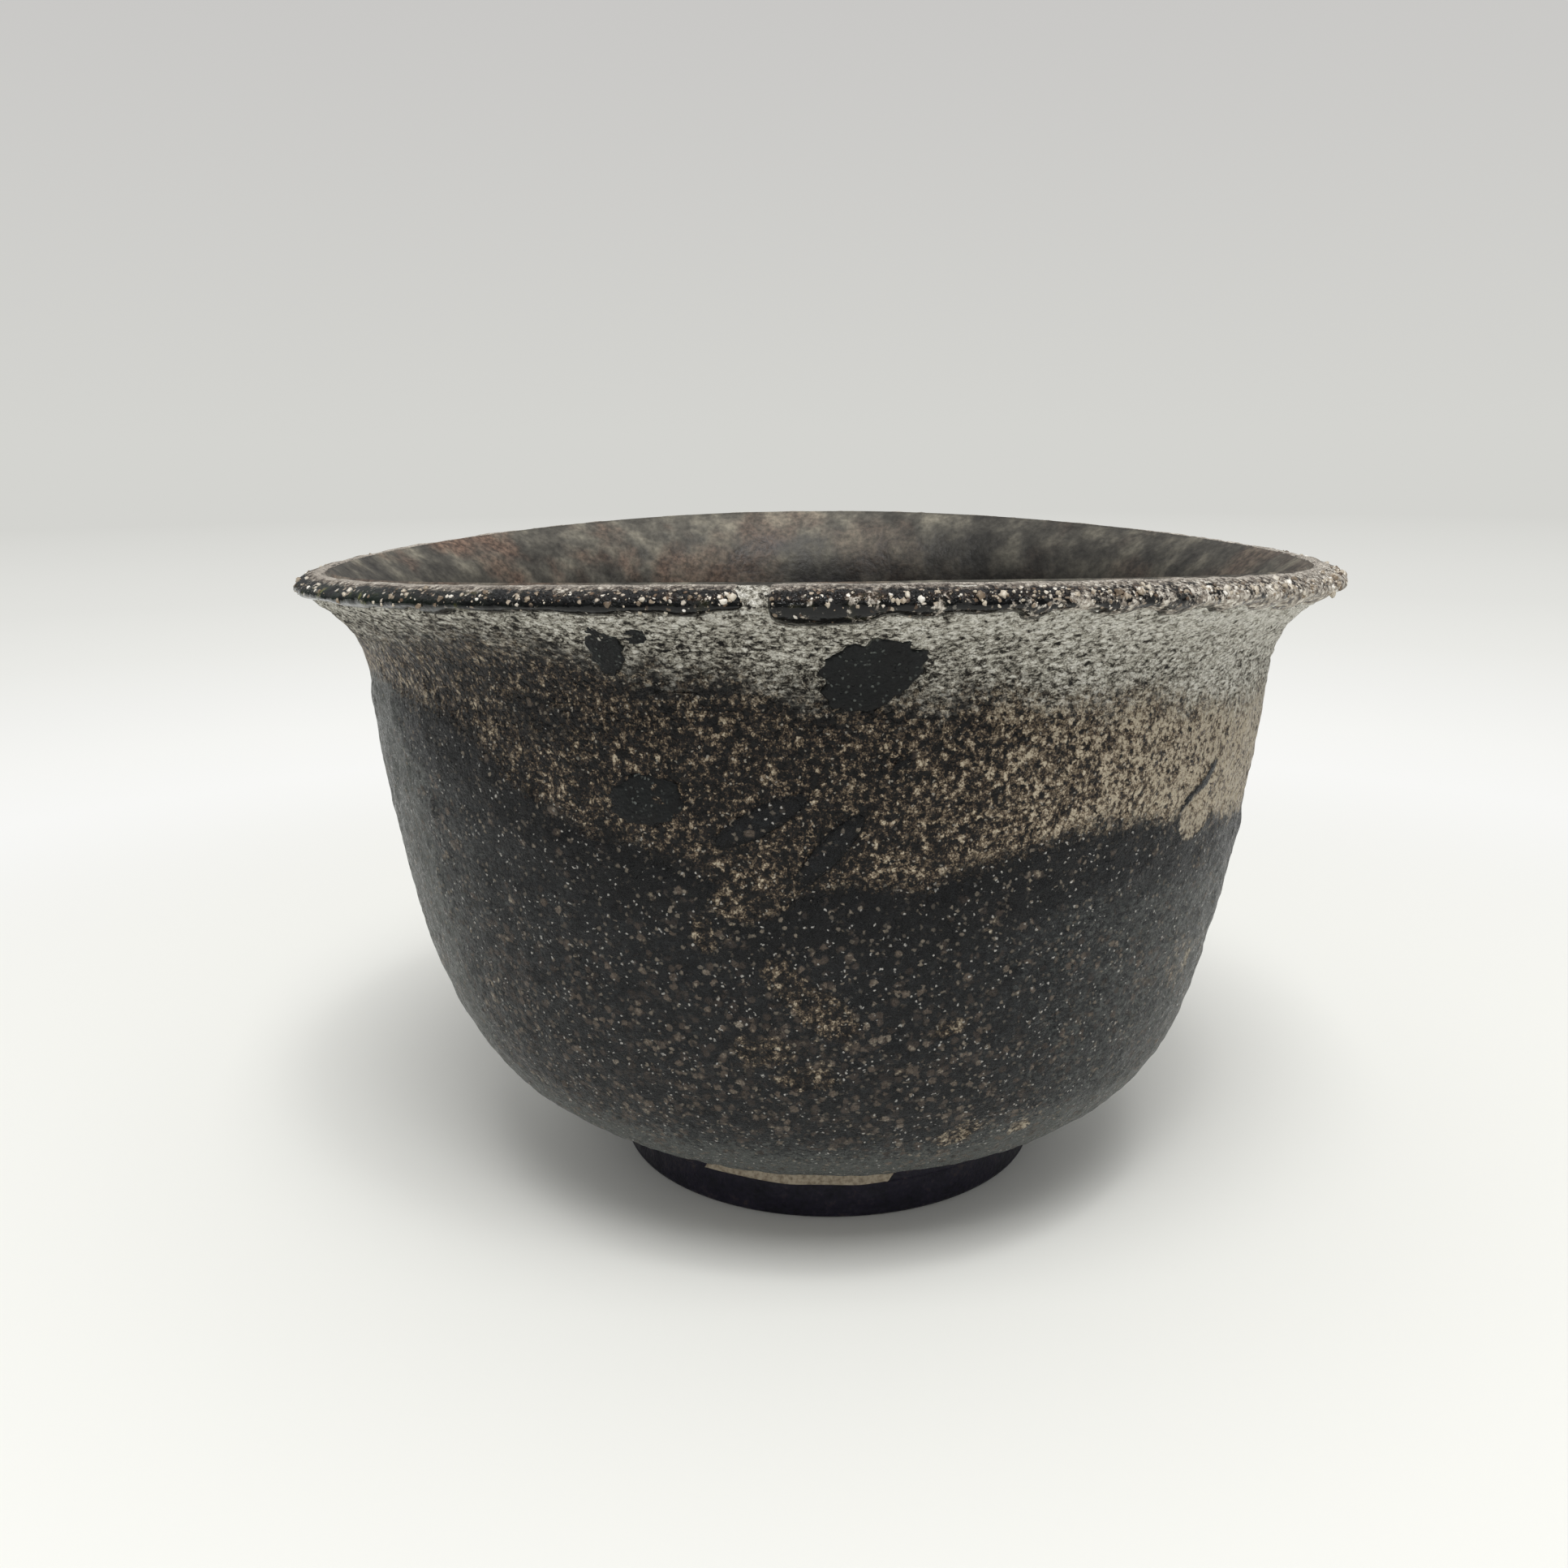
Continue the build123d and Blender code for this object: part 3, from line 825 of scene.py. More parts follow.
@dataclass(frozen=True)
class RollGlassFinish:
    """Dark glass with brown pools, a grey crust on top and pale crusts to the right."""

    glass: Ramp = ((0.0, 3, 3, 4), (0.45, 8, 7, 8), (0.7, 40, 26, 18), (1.0, 108, 74, 46))
    green: Ramp = ((0.35, 7, 12, 9), (0.6, 20, 34, 22), (0.72, 104, 106, 50))
    bits: Ramp = ((0.2, 104, 84, 66), (0.6, 168, 154, 136), (1.0, 232, 226, 214))
    crust: Ramp = ((0.0, 30, 25, 22), (0.3, 84, 75, 68), (0.6, 152, 143, 131), (1.0, 226, 220, 208))
    pale_top_line: Triple = srgb(198, 190, 178)

    def material(self) -> bpy.types.Material:
        """Build the finish from the place on the section and the side of the cup.

        Returns:
            The material of the roll.
        """
        sheet = Sheet("roll_glass")
        pools, grain, fine = sheet.noise(1.3, 2, 0.6), sheet.noise(0.3, 3, 0.65), sheet.noise(0.13, 1, 0.5)
        bits = sheet.grains(0.24, sheet.warped(0.3, 0.1))
        side, up = sheet.mark("crust"), sheet.mark("up")
        band = sheet.times(sheet.span(up, 0.05, 0.45), sheet.mark("stony"))
        shade = sheet.total(sheet.weighed((grain, 1.1), (pools, 1.2), mean=0.12), (band, 0.46))
        glass = sheet.mix(sheet.mark("green"), sheet.ramp(shade, self.glass), sheet.ramp(pools, self.green))
        bit_mask = sheet.span(sheet.total(bits.lot, (band, 0.16), (side, 0.12)), 0.97, 1.03)
        glass = sheet.mix(sheet.times(bits.body, bit_mask), glass, sheet.ramp(bits.tone, self.bits))
        shade = sheet.total(sheet.weighed((grain, 1.3), (bits.tone, 0.5)), (side, 0.3), (pools, 0.75))
        # Paler along the very top of the section, where it faces up.
        pale_top_share = sheet.times(sheet.span(up, 0.9, 1.0), 0.45)
        crust = sheet.mix(pale_top_share, sheet.ramp(shade, self.crust), self.pale_top_line)
        ragged = sheet.weighed((grain, 2.2), (pools, 2.4))
        top_mask = sheet.span(sheet.total(up, (ragged, 0.12)), 0.72, 0.9)
        side_mask = sheet.span(sheet.total(side, (ragged, 0.75)), 0.45, 0.75)
        mask = sheet.math("MAXIMUM", top_mask, side_mask)
        gloss = sheet.math("ADD", sheet.blend(mask, 0.14, 0.72), sheet.weighed((fine, 0.2)))
        knobby = sheet.total(sheet.times(bits.body, sheet.math("MAXIMUM", band, mask)), (grain, 0.6))
        rough = sheet.bump(sheet.times(knobby, sheet.total(0.15, (band, 0.8))), 0.16, 1.0)
        normal = sheet.bump(pools, 0.3, 0.6, sheet.bump(fine, 0.02, 0.6, rough))
        colour = sheet.mix(mask, glass, crust)
        return sheet.finish(Base_Color=colour, Roughness=gloss, Normal=normal, IOR=1.52,
                            Specular_IOR_Level=0.32)


@dataclass(frozen=True)
class StoneFinish:
    """Milky and brown quartz, each stone with its own tone."""

    quartz: Ramp = ((0.0, 70, 56, 44), (0.35, 132, 116, 96), (0.7, 196, 186, 168), (1.0, 235, 231, 222))

    def material(self) -> bpy.types.Material:
        """Build the finish from the stone's tone and a fine cloud.

        Returns:
            The material of the grains.
        """
        sheet = Sheet("quartz")
        cloud = sheet.noise(0.3, 2, 0.6)
        colour = sheet.ramp(sheet.math("ADD", sheet.mark("tone"), sheet.weighed((cloud, 0.5))), self.quartz)
        gloss = sheet.span(cloud, 0.3, 0.7, 0.22, 0.5)
        return sheet.finish(Base_Color=colour, Roughness=gloss, Normal=sheet.bump(cloud, 0.06, 0.6), IOR=1.54)


@dataclass(frozen=True)
class DropFinish:
    """Dark blue-green glass with pinholes and a few pale specks."""

    glass: Ramp = ((0.35, 3, 4, 5), (0.65, 11, 15, 16))
    speck: Triple = srgb(92, 96, 92)
    rim: Triple = srgb(100, 98, 88)

    def material(self) -> bpy.types.Material:
        """Build the finish from a cloud, a pinhole pattern and fine grain.

        Returns:
            The material of the drops.
        """
        sheet = Sheet("drop_glass")
        cloud, fine = sheet.noise(1.2, 3, 0.6), sheet.noise(0.2, 3, 0.65)
        pits = sheet.grains(0.17, sheet.warped(0.3, 0.1))
        pit = sheet.times(pits.body, sheet.span(pits.lot, 0.84, 0.9))
        rim = sheet.span(sheet.total(sheet.mark("edge"), (cloud, 0.5)), 1.24, 1.36)
        pale = sheet.times(pit, sheet.math("POWER", pits.tone, 2.0))
        colour = sheet.mix(rim, sheet.mix(pale, sheet.ramp(cloud, self.glass), self.speck), self.rim)
        normal = sheet.bump(pit, -0.08, 0.8, sheet.bump(fine, 0.09, 0.8, sheet.bump(cloud, 0.2, 0.6)))
        gloss = sheet.span(fine, 0.3, 0.7, 0.32, 0.55)
        return sheet.finish(Base_Color=colour, Roughness=gloss, Normal=normal, Specular_IOR_Level=0.22)


@dataclass(frozen=True)
class FootFinish:
    """Blue-black, slightly glossy skin with faint brown, and pale slip where it is bare."""

    skin: Ramp = ((0.25, 13, 12, 23), (0.6, 29, 26, 41), (0.9, 62, 52, 49))
    bare: Triple = srgb(176, 164, 144)
    bare_grain: Triple = srgb(120, 108, 92)

    def material(self) -> bpy.types.Material:
        """Build the finish from a cloud, fine grain and the bare mark.

        Returns:
            The material of the foot and of the slip.
        """
        sheet = Sheet("foot_skin")
        cloud, grain = sheet.noise(2.2, 3, 0.6), sheet.noise(0.35, 3, 0.6)
        dark = sheet.ramp(sheet.math("ADD", cloud, sheet.weighed((grain, 0.9))), self.skin)
        mask = sheet.span(sheet.math("ADD", sheet.mark("bare"), sheet.weighed((grain, 0.5))), 0.42, 0.58)
        pale = sheet.mix(sheet.span(grain, 0.35, 0.75), self.bare, self.bare_grain)
        normal = sheet.bump(grain, 0.1, 0.7, sheet.bump(cloud, 0.3, 0.5))
        return sheet.finish(Base_Color=sheet.mix(mask, dark, pale), Roughness=sheet.blend(mask, 0.38, 0.8),
                            Normal=normal, Specular_IOR_Level=0.25)


@dataclass
class CupWall:
    """The thrown bowl, its dark coat and its liner, each a closed skin."""

    form: ThrownForm
    fire: FireMarks
    columns: int = 760
    coat_columns: int = 700
    liner_columns: int = 460
    coarse_below_mm: float = 28.0
    coarse_rows: int = 12
    fine_rows: int = 78
    slump_mm: float = 0.1
    lines_mm: float = 0.06
    sand_mm: float = 0.09
    grit_mm: float = 0.05
    flakes_mm: float = 0.13
    tan_sink_mm: float = 0.12
    coat_thickness_mm: float = 0.14
    coat_dive_mm: float = 0.16
    coat_back_mm: float = 0.6
    coat_top_mm: float = 43.0
    liner_thickness_mm: float = 0.35
    liner_back_mm: float = 0.5
    recess_depth_mm: float = 0.8
    recess_radius_mm: float = 13.6
    recess_flat_radius_mm: float = 9.6
    nub_radius_mm: float = 2.6
    nub_drop_mm: float = 0.6
    liner_rust: Stops = (
        (-180, 0.35), (-150, 0.8), (-110, 0.9), (-60, 0.5), (0, 0.4), (60, 0.3), (110, 0.45), (150, 0.2),
    )
    liner_pale: Stops = (
        (180, 1.12), (150, 0.45), (120, 0.45), (90, 0.55), (0, 0.6), (-90, 0.8), (-120, 0.88), (-150, 1.04),
    )
    # Painted shade on the far inside wall, at angles: how much of its paleness is taken away below the lip.
    liner_painted_shade: Stops = ((-180, 0.45), (-168, 0.2), (-150, 0.0), (115, 0.0), (130, 0.6), (172, 0.6))
    slump: Lattice = Lattice(11)
    lumps: Lattice = Lattice(23)
    grit: Lattice = Lattice(37)

    def relief(self, points: Array, ash: Array) -> Array:
        """Height of the worked and fired surface over the plain form, in millimetres.

        It adds a slow slump, lines left by the fingers that follow the height, lumps of
        sand under the skin, fine grit, and thin level flakes where the ash lies.

        Args:
            points: Places on the plain form, in millimetres.
            ash: Share of ash, 0 to 1.

        Returns:
            Heights in millimetres.
        """
        slow = self.slump_mm * self.slump.field(points, 14.0)
        lines = self.lines_mm * self.slump.layered(points, 2.6, (0.12, 0.12, 1))
        sand = self.sand_mm * self.lumps.layered(points, 1.5)
        grit = self.grit_mm * self.grit.field(points, 0.55)
        flakes = self.flakes_mm * ash * self.lumps.field(points + 50, 0.8, (1, 1, 2.4))
        return slow + lines + sand + grit + flakes

    def bowl(self) -> Piece:
        """Make the bowl: underside, outside, lip and inside as one skin closed at two poles.

        The rows run from the middle of the underside out to the neck, up the outline, over
        the lip's half round and down the inside, each carried round by the form. The relief
        stands on the outside and on the lip's outer half.

        Returns:
            The bowl.
        """
        form = self.form
        neck, nub, edge = form.neck_height_mm, self.nub_radius_mm, self.recess_radius_mm
        top = neck + self.recess_depth_mm
        under = np.array((
            (0.3, top - self.nub_drop_mm), (1.4, top - self.nub_drop_mm * 0.9), (nub, top - 0.05),
            (nub + 1, top), (self.recess_flat_radius_mm, top), (edge, neck + 0.02), (edge + 0.3, neck),
            (17.0, neck),
        ))
        middle = form.share_at(self.coarse_below_mm)
        hidden = np.linspace(0, middle, self.coarse_rows, endpoint=False)
        outside = np.append(hidden, np.linspace(middle, 1, self.fine_rows, endpoint=False))
        radius, height, _, _ = form.outside(outside)
        lip_radius, lip_height = form.lip(np.linspace(form.lip_lean - 90, form.lip_lean + 90, 15))
        inner_radius, inner_height = form.inside(np.linspace(1, 0, 12)[1:], 0.0)
        radius = np.concatenate((under[:, 0], radius, lip_radius, inner_radius, (3.0, 0.3)))
        height = np.concatenate((under[:, 1], height, lip_height, inner_height, (inner_height[-1],) * 2))
        turn = turns(self.columns)
        base = form.place(turn, radius[:, None], height[:, None])
        marks = self.fire.marks(turn, height[:, None])
        first, last = len(under) + 1, len(under) + len(outside) + 9
        moved = np.zeros(base.shape[:2])
        moved[first:last] = self.relief(base, ease(marks["ash_depth"], -1, 2))[first:last]
        out = normals(base)
        out *= np.sign((out[first + 29] * carried(turn, 1.0, 0.0)[0]).sum())
        return skin_piece("thrown_bowl", boxed(base + out * moved[..., None]), Wrap.POLES, marks)

    def coat(self) -> Piece:
        """Make the dark coat: an outer face over the clay and a buried inner face.

        The outer face stands the coat's thickness over the clay below its ragged edge, and
        dives under the clay above it and where bare clay shows through.

        Returns:
            The coat.
        """
        shares = np.linspace(0.0, self.form.share_at(self.coat_top_mm), 126)
        radius, height, out, up = (part[:, None] for part in self.form.outside(shares))
        turn = turns(self.coat_columns)
        base = self.form.place(turn, radius, height)
        marks = self.fire.marks(turn, height)
        edge = marks["coat_depth"] + 1.4 * self.slump.field(base, 4.0) + 0.9 * self.lumps.field(base, 1.1)
        over = self.coat_thickness_mm * ease(edge, -0.6, 2.4) - self.coat_dive_mm * ease(-edge, -0.6, 1.0)
        over -= self.tan_sink_mm * ease(marks["tan"] + 0.3 * self.lumps.field(base, 1.0), 0.45, 0.8)
        level = self.relief(base, ease(marks["ash_depth"], -1, 2)) + over
        level[0] = np.minimum(level[0], 0.0)
        skin = carried(turn, out, up)
        rows = np.linspace(len(shares) - 1, 0, 6).astype(int)
        grid = np.concatenate((base + skin * level[..., None], base[rows] - skin[rows] * self.coat_back_mm))
        marks = {key: np.concatenate((value, value[rows])) for key, value in marks.items()}
        return skin_piece("coat_skin", boxed(grid), Wrap.RING, marks)

    def liner(self) -> Piece:
        """Make the liner: from the floor up the inside to the top of the lip, and back in the clay.

        The face settles in slow waves and small lumps, as poured glaze does.

        Returns:
            The liner.
        """
        form = self.form
        radius, height = form.inside(np.linspace(0, 1, 96), self.liner_thickness_mm)
        over_radius, over_height = form.lip(np.linspace(form.lip_lean + 84, 96, 5), 0.05)
        radius = np.concatenate(((0.3, 1.2, 2.4), radius, over_radius))
        height = np.concatenate(((height[0],) * 3, height, over_height))
        back_radius, back_height = form.inside(np.linspace(1, 0, 9), -self.liner_back_mm)
        back_radius = np.concatenate(((form.lip_radius_mm,), back_radius, (1.2,)))
        back_height = np.concatenate(((form.lip_height_mm,), back_height, (back_height[-1],)))
        turn = turns(self.liner_columns)
        face = form.place(turn, radius[:, None], height[:, None])
        out = normals(face)
        out *= np.sign(out[5, :, 2].mean())
        settle = 0.05 * self.lumps.layered(face, 1.6) + 0.1 * self.slump.layered(face, 9.0, (0.3, 0.3, 1))
        shown = ease(radius, 1.0, 4.0) * (1 - ease(height, 47.8, 48.9))
        face = face + out * (settle * shown[:, None])[..., None]
        back = form.place(turn, back_radius[:, None], back_height[:, None])
        heights = np.append(height, back_height)[:, None] + 0 * turn
        # Painted shade: the far inside wall darkens below 47 mm.
        painted_shade = around(turn, self.liner_painted_shade) * ease(-heights, -47.0, -43.5)
        marks = {
            "height": heights,
            "rust": around(turn, self.liner_rust) + 0 * heights,
            "pale": around(turn, self.liner_pale) * (1 - painted_shade) + 0.5 * ease(heights, 46.5, 49.0),
        }
        return skin_piece("liner_skin", boxed(np.concatenate((face, back))), Wrap.POLES, marks)

    def build(self) -> None:
        """Make and dress the three skins."""
        wall = FiredWallFinish().material()
        dress(self.bowl(), wall, ("bowl",))
        dress(self.coat(), wall, ("outer_glaze",))
        dress(self.liner(), LinerFinish().material(), ("liner_glaze",))


@dataclass
class LipRoll:
    """The roll of glass under the lip, with its drips, its break and its stones.

    Drips give an angle, the extra drop in millimetres and the half width in degrees.
    """

    form: ThrownForm
    columns: int = 1100
    section_steps: int = 60
    section_start: float = 112.0
    section_sweep: float = 212.0
    depth_mm: float = 0.82
    film_mm: float = 0.06
    back_round_mm: float = 0.45
    break_left: float = -7.2
    break_right: float = -5.1
    base_drop: Stops = (
        (-180, 0.75), (-120, 0.6), (-60, 0.4), (-30, 0.45), (-15, 0.55), (0, 0.75), (20, 0.6), (40, 0.7),
        (60, 0.75), (120, 0.65),
    )
    drips: tuple[Triple, ...] = (
        (-50, 0.2, 3.5), (-42, 0.12, 2.0), (-36.5, 0.32, 2.0), (-29.5, 0.1, 1.6), (-20, 0.18, 2.4),
        (-11.5, 0.3, 1.8), (-2.6, 0.55, 2.4), (1.6, 0.45, 2.2), (7.5, 0.22, 1.8), (12, 0.1, 1.2),
        (16.8, 0.45, 1.2), (24.5, 0.28, 2.0), (31, 0.4, 1.9), (37.5, 0.3, 1.6), (43.5, 0.35, 2.0),
        (49.5, 0.5, 2.2), (57, 0.4, 2.6),
    )
    back_drip_count: int = 17
    back_drip_mm: float = 0.5
    crust: Stops = (
        (-180, 0.3), (-100, 0.15), (-60, 0.12), (-20, 0.14), (-8, 0.16), (0, 0.16), (12, 0.26), (22, 0.5),
        (32, 0.62), (44, 0.72), (60, 0.85), (90, 0.9), (130, 0.5),
    )
    green: Stops = ((-180, 0.2), (-75, 0.75), (-50, 0.8), (-38, 0.4), (-25, 0.1), (60, 0.0), (150, 0.3))
    stony: Stops = ((-180, 0.5), (-75, 0.2), (-45, 0.3), (-30, 0.6), (-12, 0.9), (60, 1.0))
    crowding: Stops = (
        (-66, 0.25), (-45, 0.35), (-30, 0.6), (-9, 0.9), (-3, 0.7), (10, 0.9), (22, 1.0), (35, 1.25),
        (55, 1.4), (78, 1.1),
    )
    stone_seed: int = 5
    front_stones: int = 600
    back_stones: int = 340
    smallest_stone_mm: float = 0.05
    stone_spread_mm: float = 0.2
    swell: Lattice = Lattice(53)
    crumbs: Lattice = Lattice(67)

    def fullness(self, turn: Array) -> Array:
        """Share of the roll's depth: it tapers to the break on the left and starts blunt on the right.

        Args:
            turn: Angles from the front.

        Returns:
            0 inside the break, and up to 1 outside it.
        """
        left = short_way(self.break_left) - short_way(turn)
        right = short_way(turn) - self.break_right
        taper = np.where(left > 0, 0.45 + 0.55 * ease(left, 0, 9), 1.0)
        return np.where((left <= 0) & (right <= 0), 0.0, taper)

    def presence(self, turn: Array) -> Array:
        """Share that sinks the whole roll into the clay inside the break."""
        left, right = self.break_left - short_way(turn), short_way(turn) - self.break_right
        return np.maximum(ease(left, -0.5, 0.9), ease(right, -0.35, 0.35))

    def drop(self, turn: Array) -> Array:
        """How far the roll hangs below the lip's centre.

        A base, plus rounded drips in front, each its drop times e to the minus fourth power
        of the distance over the half width, plus a squared uneven wave behind.

        Args:
            turn: Angles from the front.

        Returns:
            Drops in millimetres.
        """
        total = around(turn, self.base_drop)
        for centre, drop_mm, half_width in self.drips:
            total = total + drop_mm * np.exp(-((short_way(turn, centre) / half_width) ** 4))
        angle = np.radians(turn)
        ripple = 0.5 + 0.5 * np.sin(angle * self.back_drip_count + 1.3 * np.sin(3 * angle))
        return total + ease(np.abs(short_way(turn)), 58, 66) * self.back_drip_mm * ripple**2

    def place(self, turn: Array, share: Array) -> tuple[Array, Array]:
        """Find a place on the roll's outer face.

        The angle goes from behind the crest to under the lip. The reach is the lip's round
        plus a film plus the depth times a sine swell, and below the centre the height is
        stretched to the drop. Inside the break both shrink into the clay.

        Args:
            turn: Angles round the cup.
            share: Share of the way from the crest to the underside.

        Returns:
            Points in millimetres, and the sine of the section angle.
        """
        turn, share = np.broadcast_arrays(turn, share)
        form, full, sunk = self.form, self.fullness(turn), self.presence(turn)
        angle = np.radians(self.section_start - self.section_sweep * share)
        film = form.lip_round_mm + self.film_mm
        reach = film + self.depth_mm * np.sin(np.pi * share**1.05) ** 1.15 * full
        upright = np.where(angle > 0, film, self.drop(turn) * (0.4 + 0.6 * full))
        radius = form.lip_radius_mm + reach * np.cos(angle) * (0.55 + 0.45 * sunk)
        height = form.lip_height_mm + upright * np.sin(angle) * (0.7 + 0.3 * sunk)
        return form.place(turn, radius, height), np.sin(angle)

    def roll(self) -> Piece:
        """Make the roll: its face round the section and a buried back, closed both ways.

        Returns:
            The roll.
        """
        form, turn = self.form, turns(self.columns)
        share = np.linspace(0, 1, self.section_steps)[:, None]
        face, up = self.place(turn, share)
        out = normals(face)
        centre = form.place(turn, form.lip_radius_mm, form.lip_height_mm)
        out *= np.sign((out * (face - centre)).sum(axis=-1).mean())
        crumbly = (0.02 + 0.1 * around(turn, self.crust)) * self.crumbs.layered(face, 0.7)
        edge = np.sin(np.pi * share) ** 0.5 * (1 - 0.75 * ease(share, 0.5, 0.75))
        lumps = (0.1 * self.swell.layered(face, 1.9) + crumbly) * edge * self.presence(turn)
        back_angle = np.linspace(-120, -230, 5)[:, None]
        back = form.place(turn, *form.lip(back_angle, self.back_round_mm - form.lip_round_mm))
        marks = {"up": np.concatenate((up, np.full(back.shape[:2], -1.0)))}
        for name in ("crust", "green", "stony"):
            marks[name] = around(turn, getattr(self, name)) + 0 * marks["up"]
        grid = np.concatenate((face + out * lumps[..., None], back))
        return skin_piece("lip_roll", boxed(grid), Wrap.RING, marks)

    def stones(self) -> Piece:
        """Make the quartz grains: one rounded block shape, turned, stretched and roughened for each.

        Each grain is an icosphere whose corners are pushed in and out at random, scaled on
        its three axes and turned by a random rotation. Its middle lies a quarter of its size
        below the roll's face.

        Returns:
            The grains, as one piece.
        """
        rng = np.random.default_rng(self.stone_seed)
        at = np.linspace(-66, 78, 600)
        weight = around(at, self.crowding)
        front = np.interp(rng.random(self.front_stones), np.cumsum(weight) / weight.sum(), at)
        turn = np.concatenate((front, rng.uniform(80, 292, self.back_stones)))
        share = np.clip(rng.normal(0.37, 0.055, len(turn)) + 0.3 * rng.random(len(turn)) ** 5, 0.25, 0.75)
        size = self.smallest_stone_mm + self.stone_spread_mm * rng.random(len(turn)) ** 3
        size *= np.where(turn > 15, 1.2, 1.0)
        keep = self.presence(turn) > 0.9
        turn, share, size = turn[keep], share[keep], size[keep]
        centre, _ = self.place(turn, share)
        out = centre - self.form.place(turn, self.form.lip_radius_mm, self.form.lip_height_mm)
        out /= np.linalg.norm(out, axis=-1, keepdims=True)
        centre = centre - out * (size * 0.25)[:, None]
        ball, faces = icosphere()
        count, corners = len(turn), len(ball)
        shapes = ball * rng.uniform(0.62, 1.2, (count, corners, 1)) * rng.uniform(0.6, 1.25, (count, 1, 3))
        shapes = np.einsum("nij,nkj->nki", random_turns(rng, count), shapes)
        points = centre[:, None] + shapes * size[:, None, None]
        faces = faces + (np.arange(count) * corners)[:, None, None]
        tone = np.repeat(np.clip(rng.normal(0.55, 0.26, count), 0, 1), corners)
        return mesh_piece("quartz_grains", boxed(points.reshape(-1, 3)), np.zeros((0, 4), int),
                          faces.reshape(-1, 3), {"tone": tone})

    def build(self) -> None:
        """Make and dress the roll and its stones."""
        dress(self.roll(), RollGlassFinish().material(), ("lip_glaze",))
        dress(self.stones(), StoneFinish().material(), ("lip_stones",))


def icosphere() -> tuple[Array, Array]:
    """Give a unit ball: an icosahedron, each of whose 20 faces is split into four.

    Returns:
        Unit vectors, and the corner numbers of the faces, pointing out.
    """
    golden = (1 + 5**0.5) / 2
    points = np.array([(-1, golden, 0), (1, golden, 0), (-1, -golden, 0), (1, -golden, 0),
                       (0, -1, golden), (0, 1, golden), (0, -1, -golden), (0, 1, -golden),
                       (golden, 0, -1), (golden, 0, 1), (-golden, 0, -1), (-golden, 0, 1)])
    near = np.linalg.norm(points[:, None] - points[None], axis=-1)
    joined = (near > 0) & (near < 2.1)
    faces = np.stack(np.nonzero(joined[:, :, None] & joined[None] & joined[:, None]), axis=-1)
    faces = faces[(np.diff(faces, axis=1) > 0).all(axis=1)]
    edges = np.sort(np.vstack((faces[:, [0, 1]], faces[:, [1, 2]], faces[:, [2, 0]])), axis=1)
    unique, inverse = np.unique(edges, axis=0, return_inverse=True)
    ab, bc, ca = len(points) + inverse.reshape(3, -1)
    points = np.vstack((points, points[unique].mean(axis=1)))
    points = points / np.linalg.norm(points, axis=1, keepdims=True)
    a, b, c = faces.T
    quarters = ((a, ab, ca), (b, bc, ab), (c, ca, bc), (ab, bc, ca))
    faces = np.vstack([np.stack(quarter, axis=-1) for quarter in quarters])
    first, second, third = points[faces].transpose(1, 0, 2)
    inward = (first * np.cross(second, third)).sum(axis=1) < 0
    faces[inward] = faces[inward][:, ::-1]
    return points, faces


def random_turns(rng: np.random.Generator, count: int) -> Array:
    """Draw rotation matrices, each the orthogonal part of a random matrix with its sign set right."""
    turned, _ = np.linalg.qr(rng.normal(size=(count, 3, 3)))
    return turned * np.sign(np.linalg.det(turned))[:, None, None]


@dataclass(frozen=True)
class Drop:
    """A drop of glass on the outside wall: its centre, half sizes, tilt and thickness."""

    turn: float
    height_mm: float
    half_width_mm: float
    half_height_mm: float
    tilt: float
    thickness_mm: float
    rimmed: bool = False


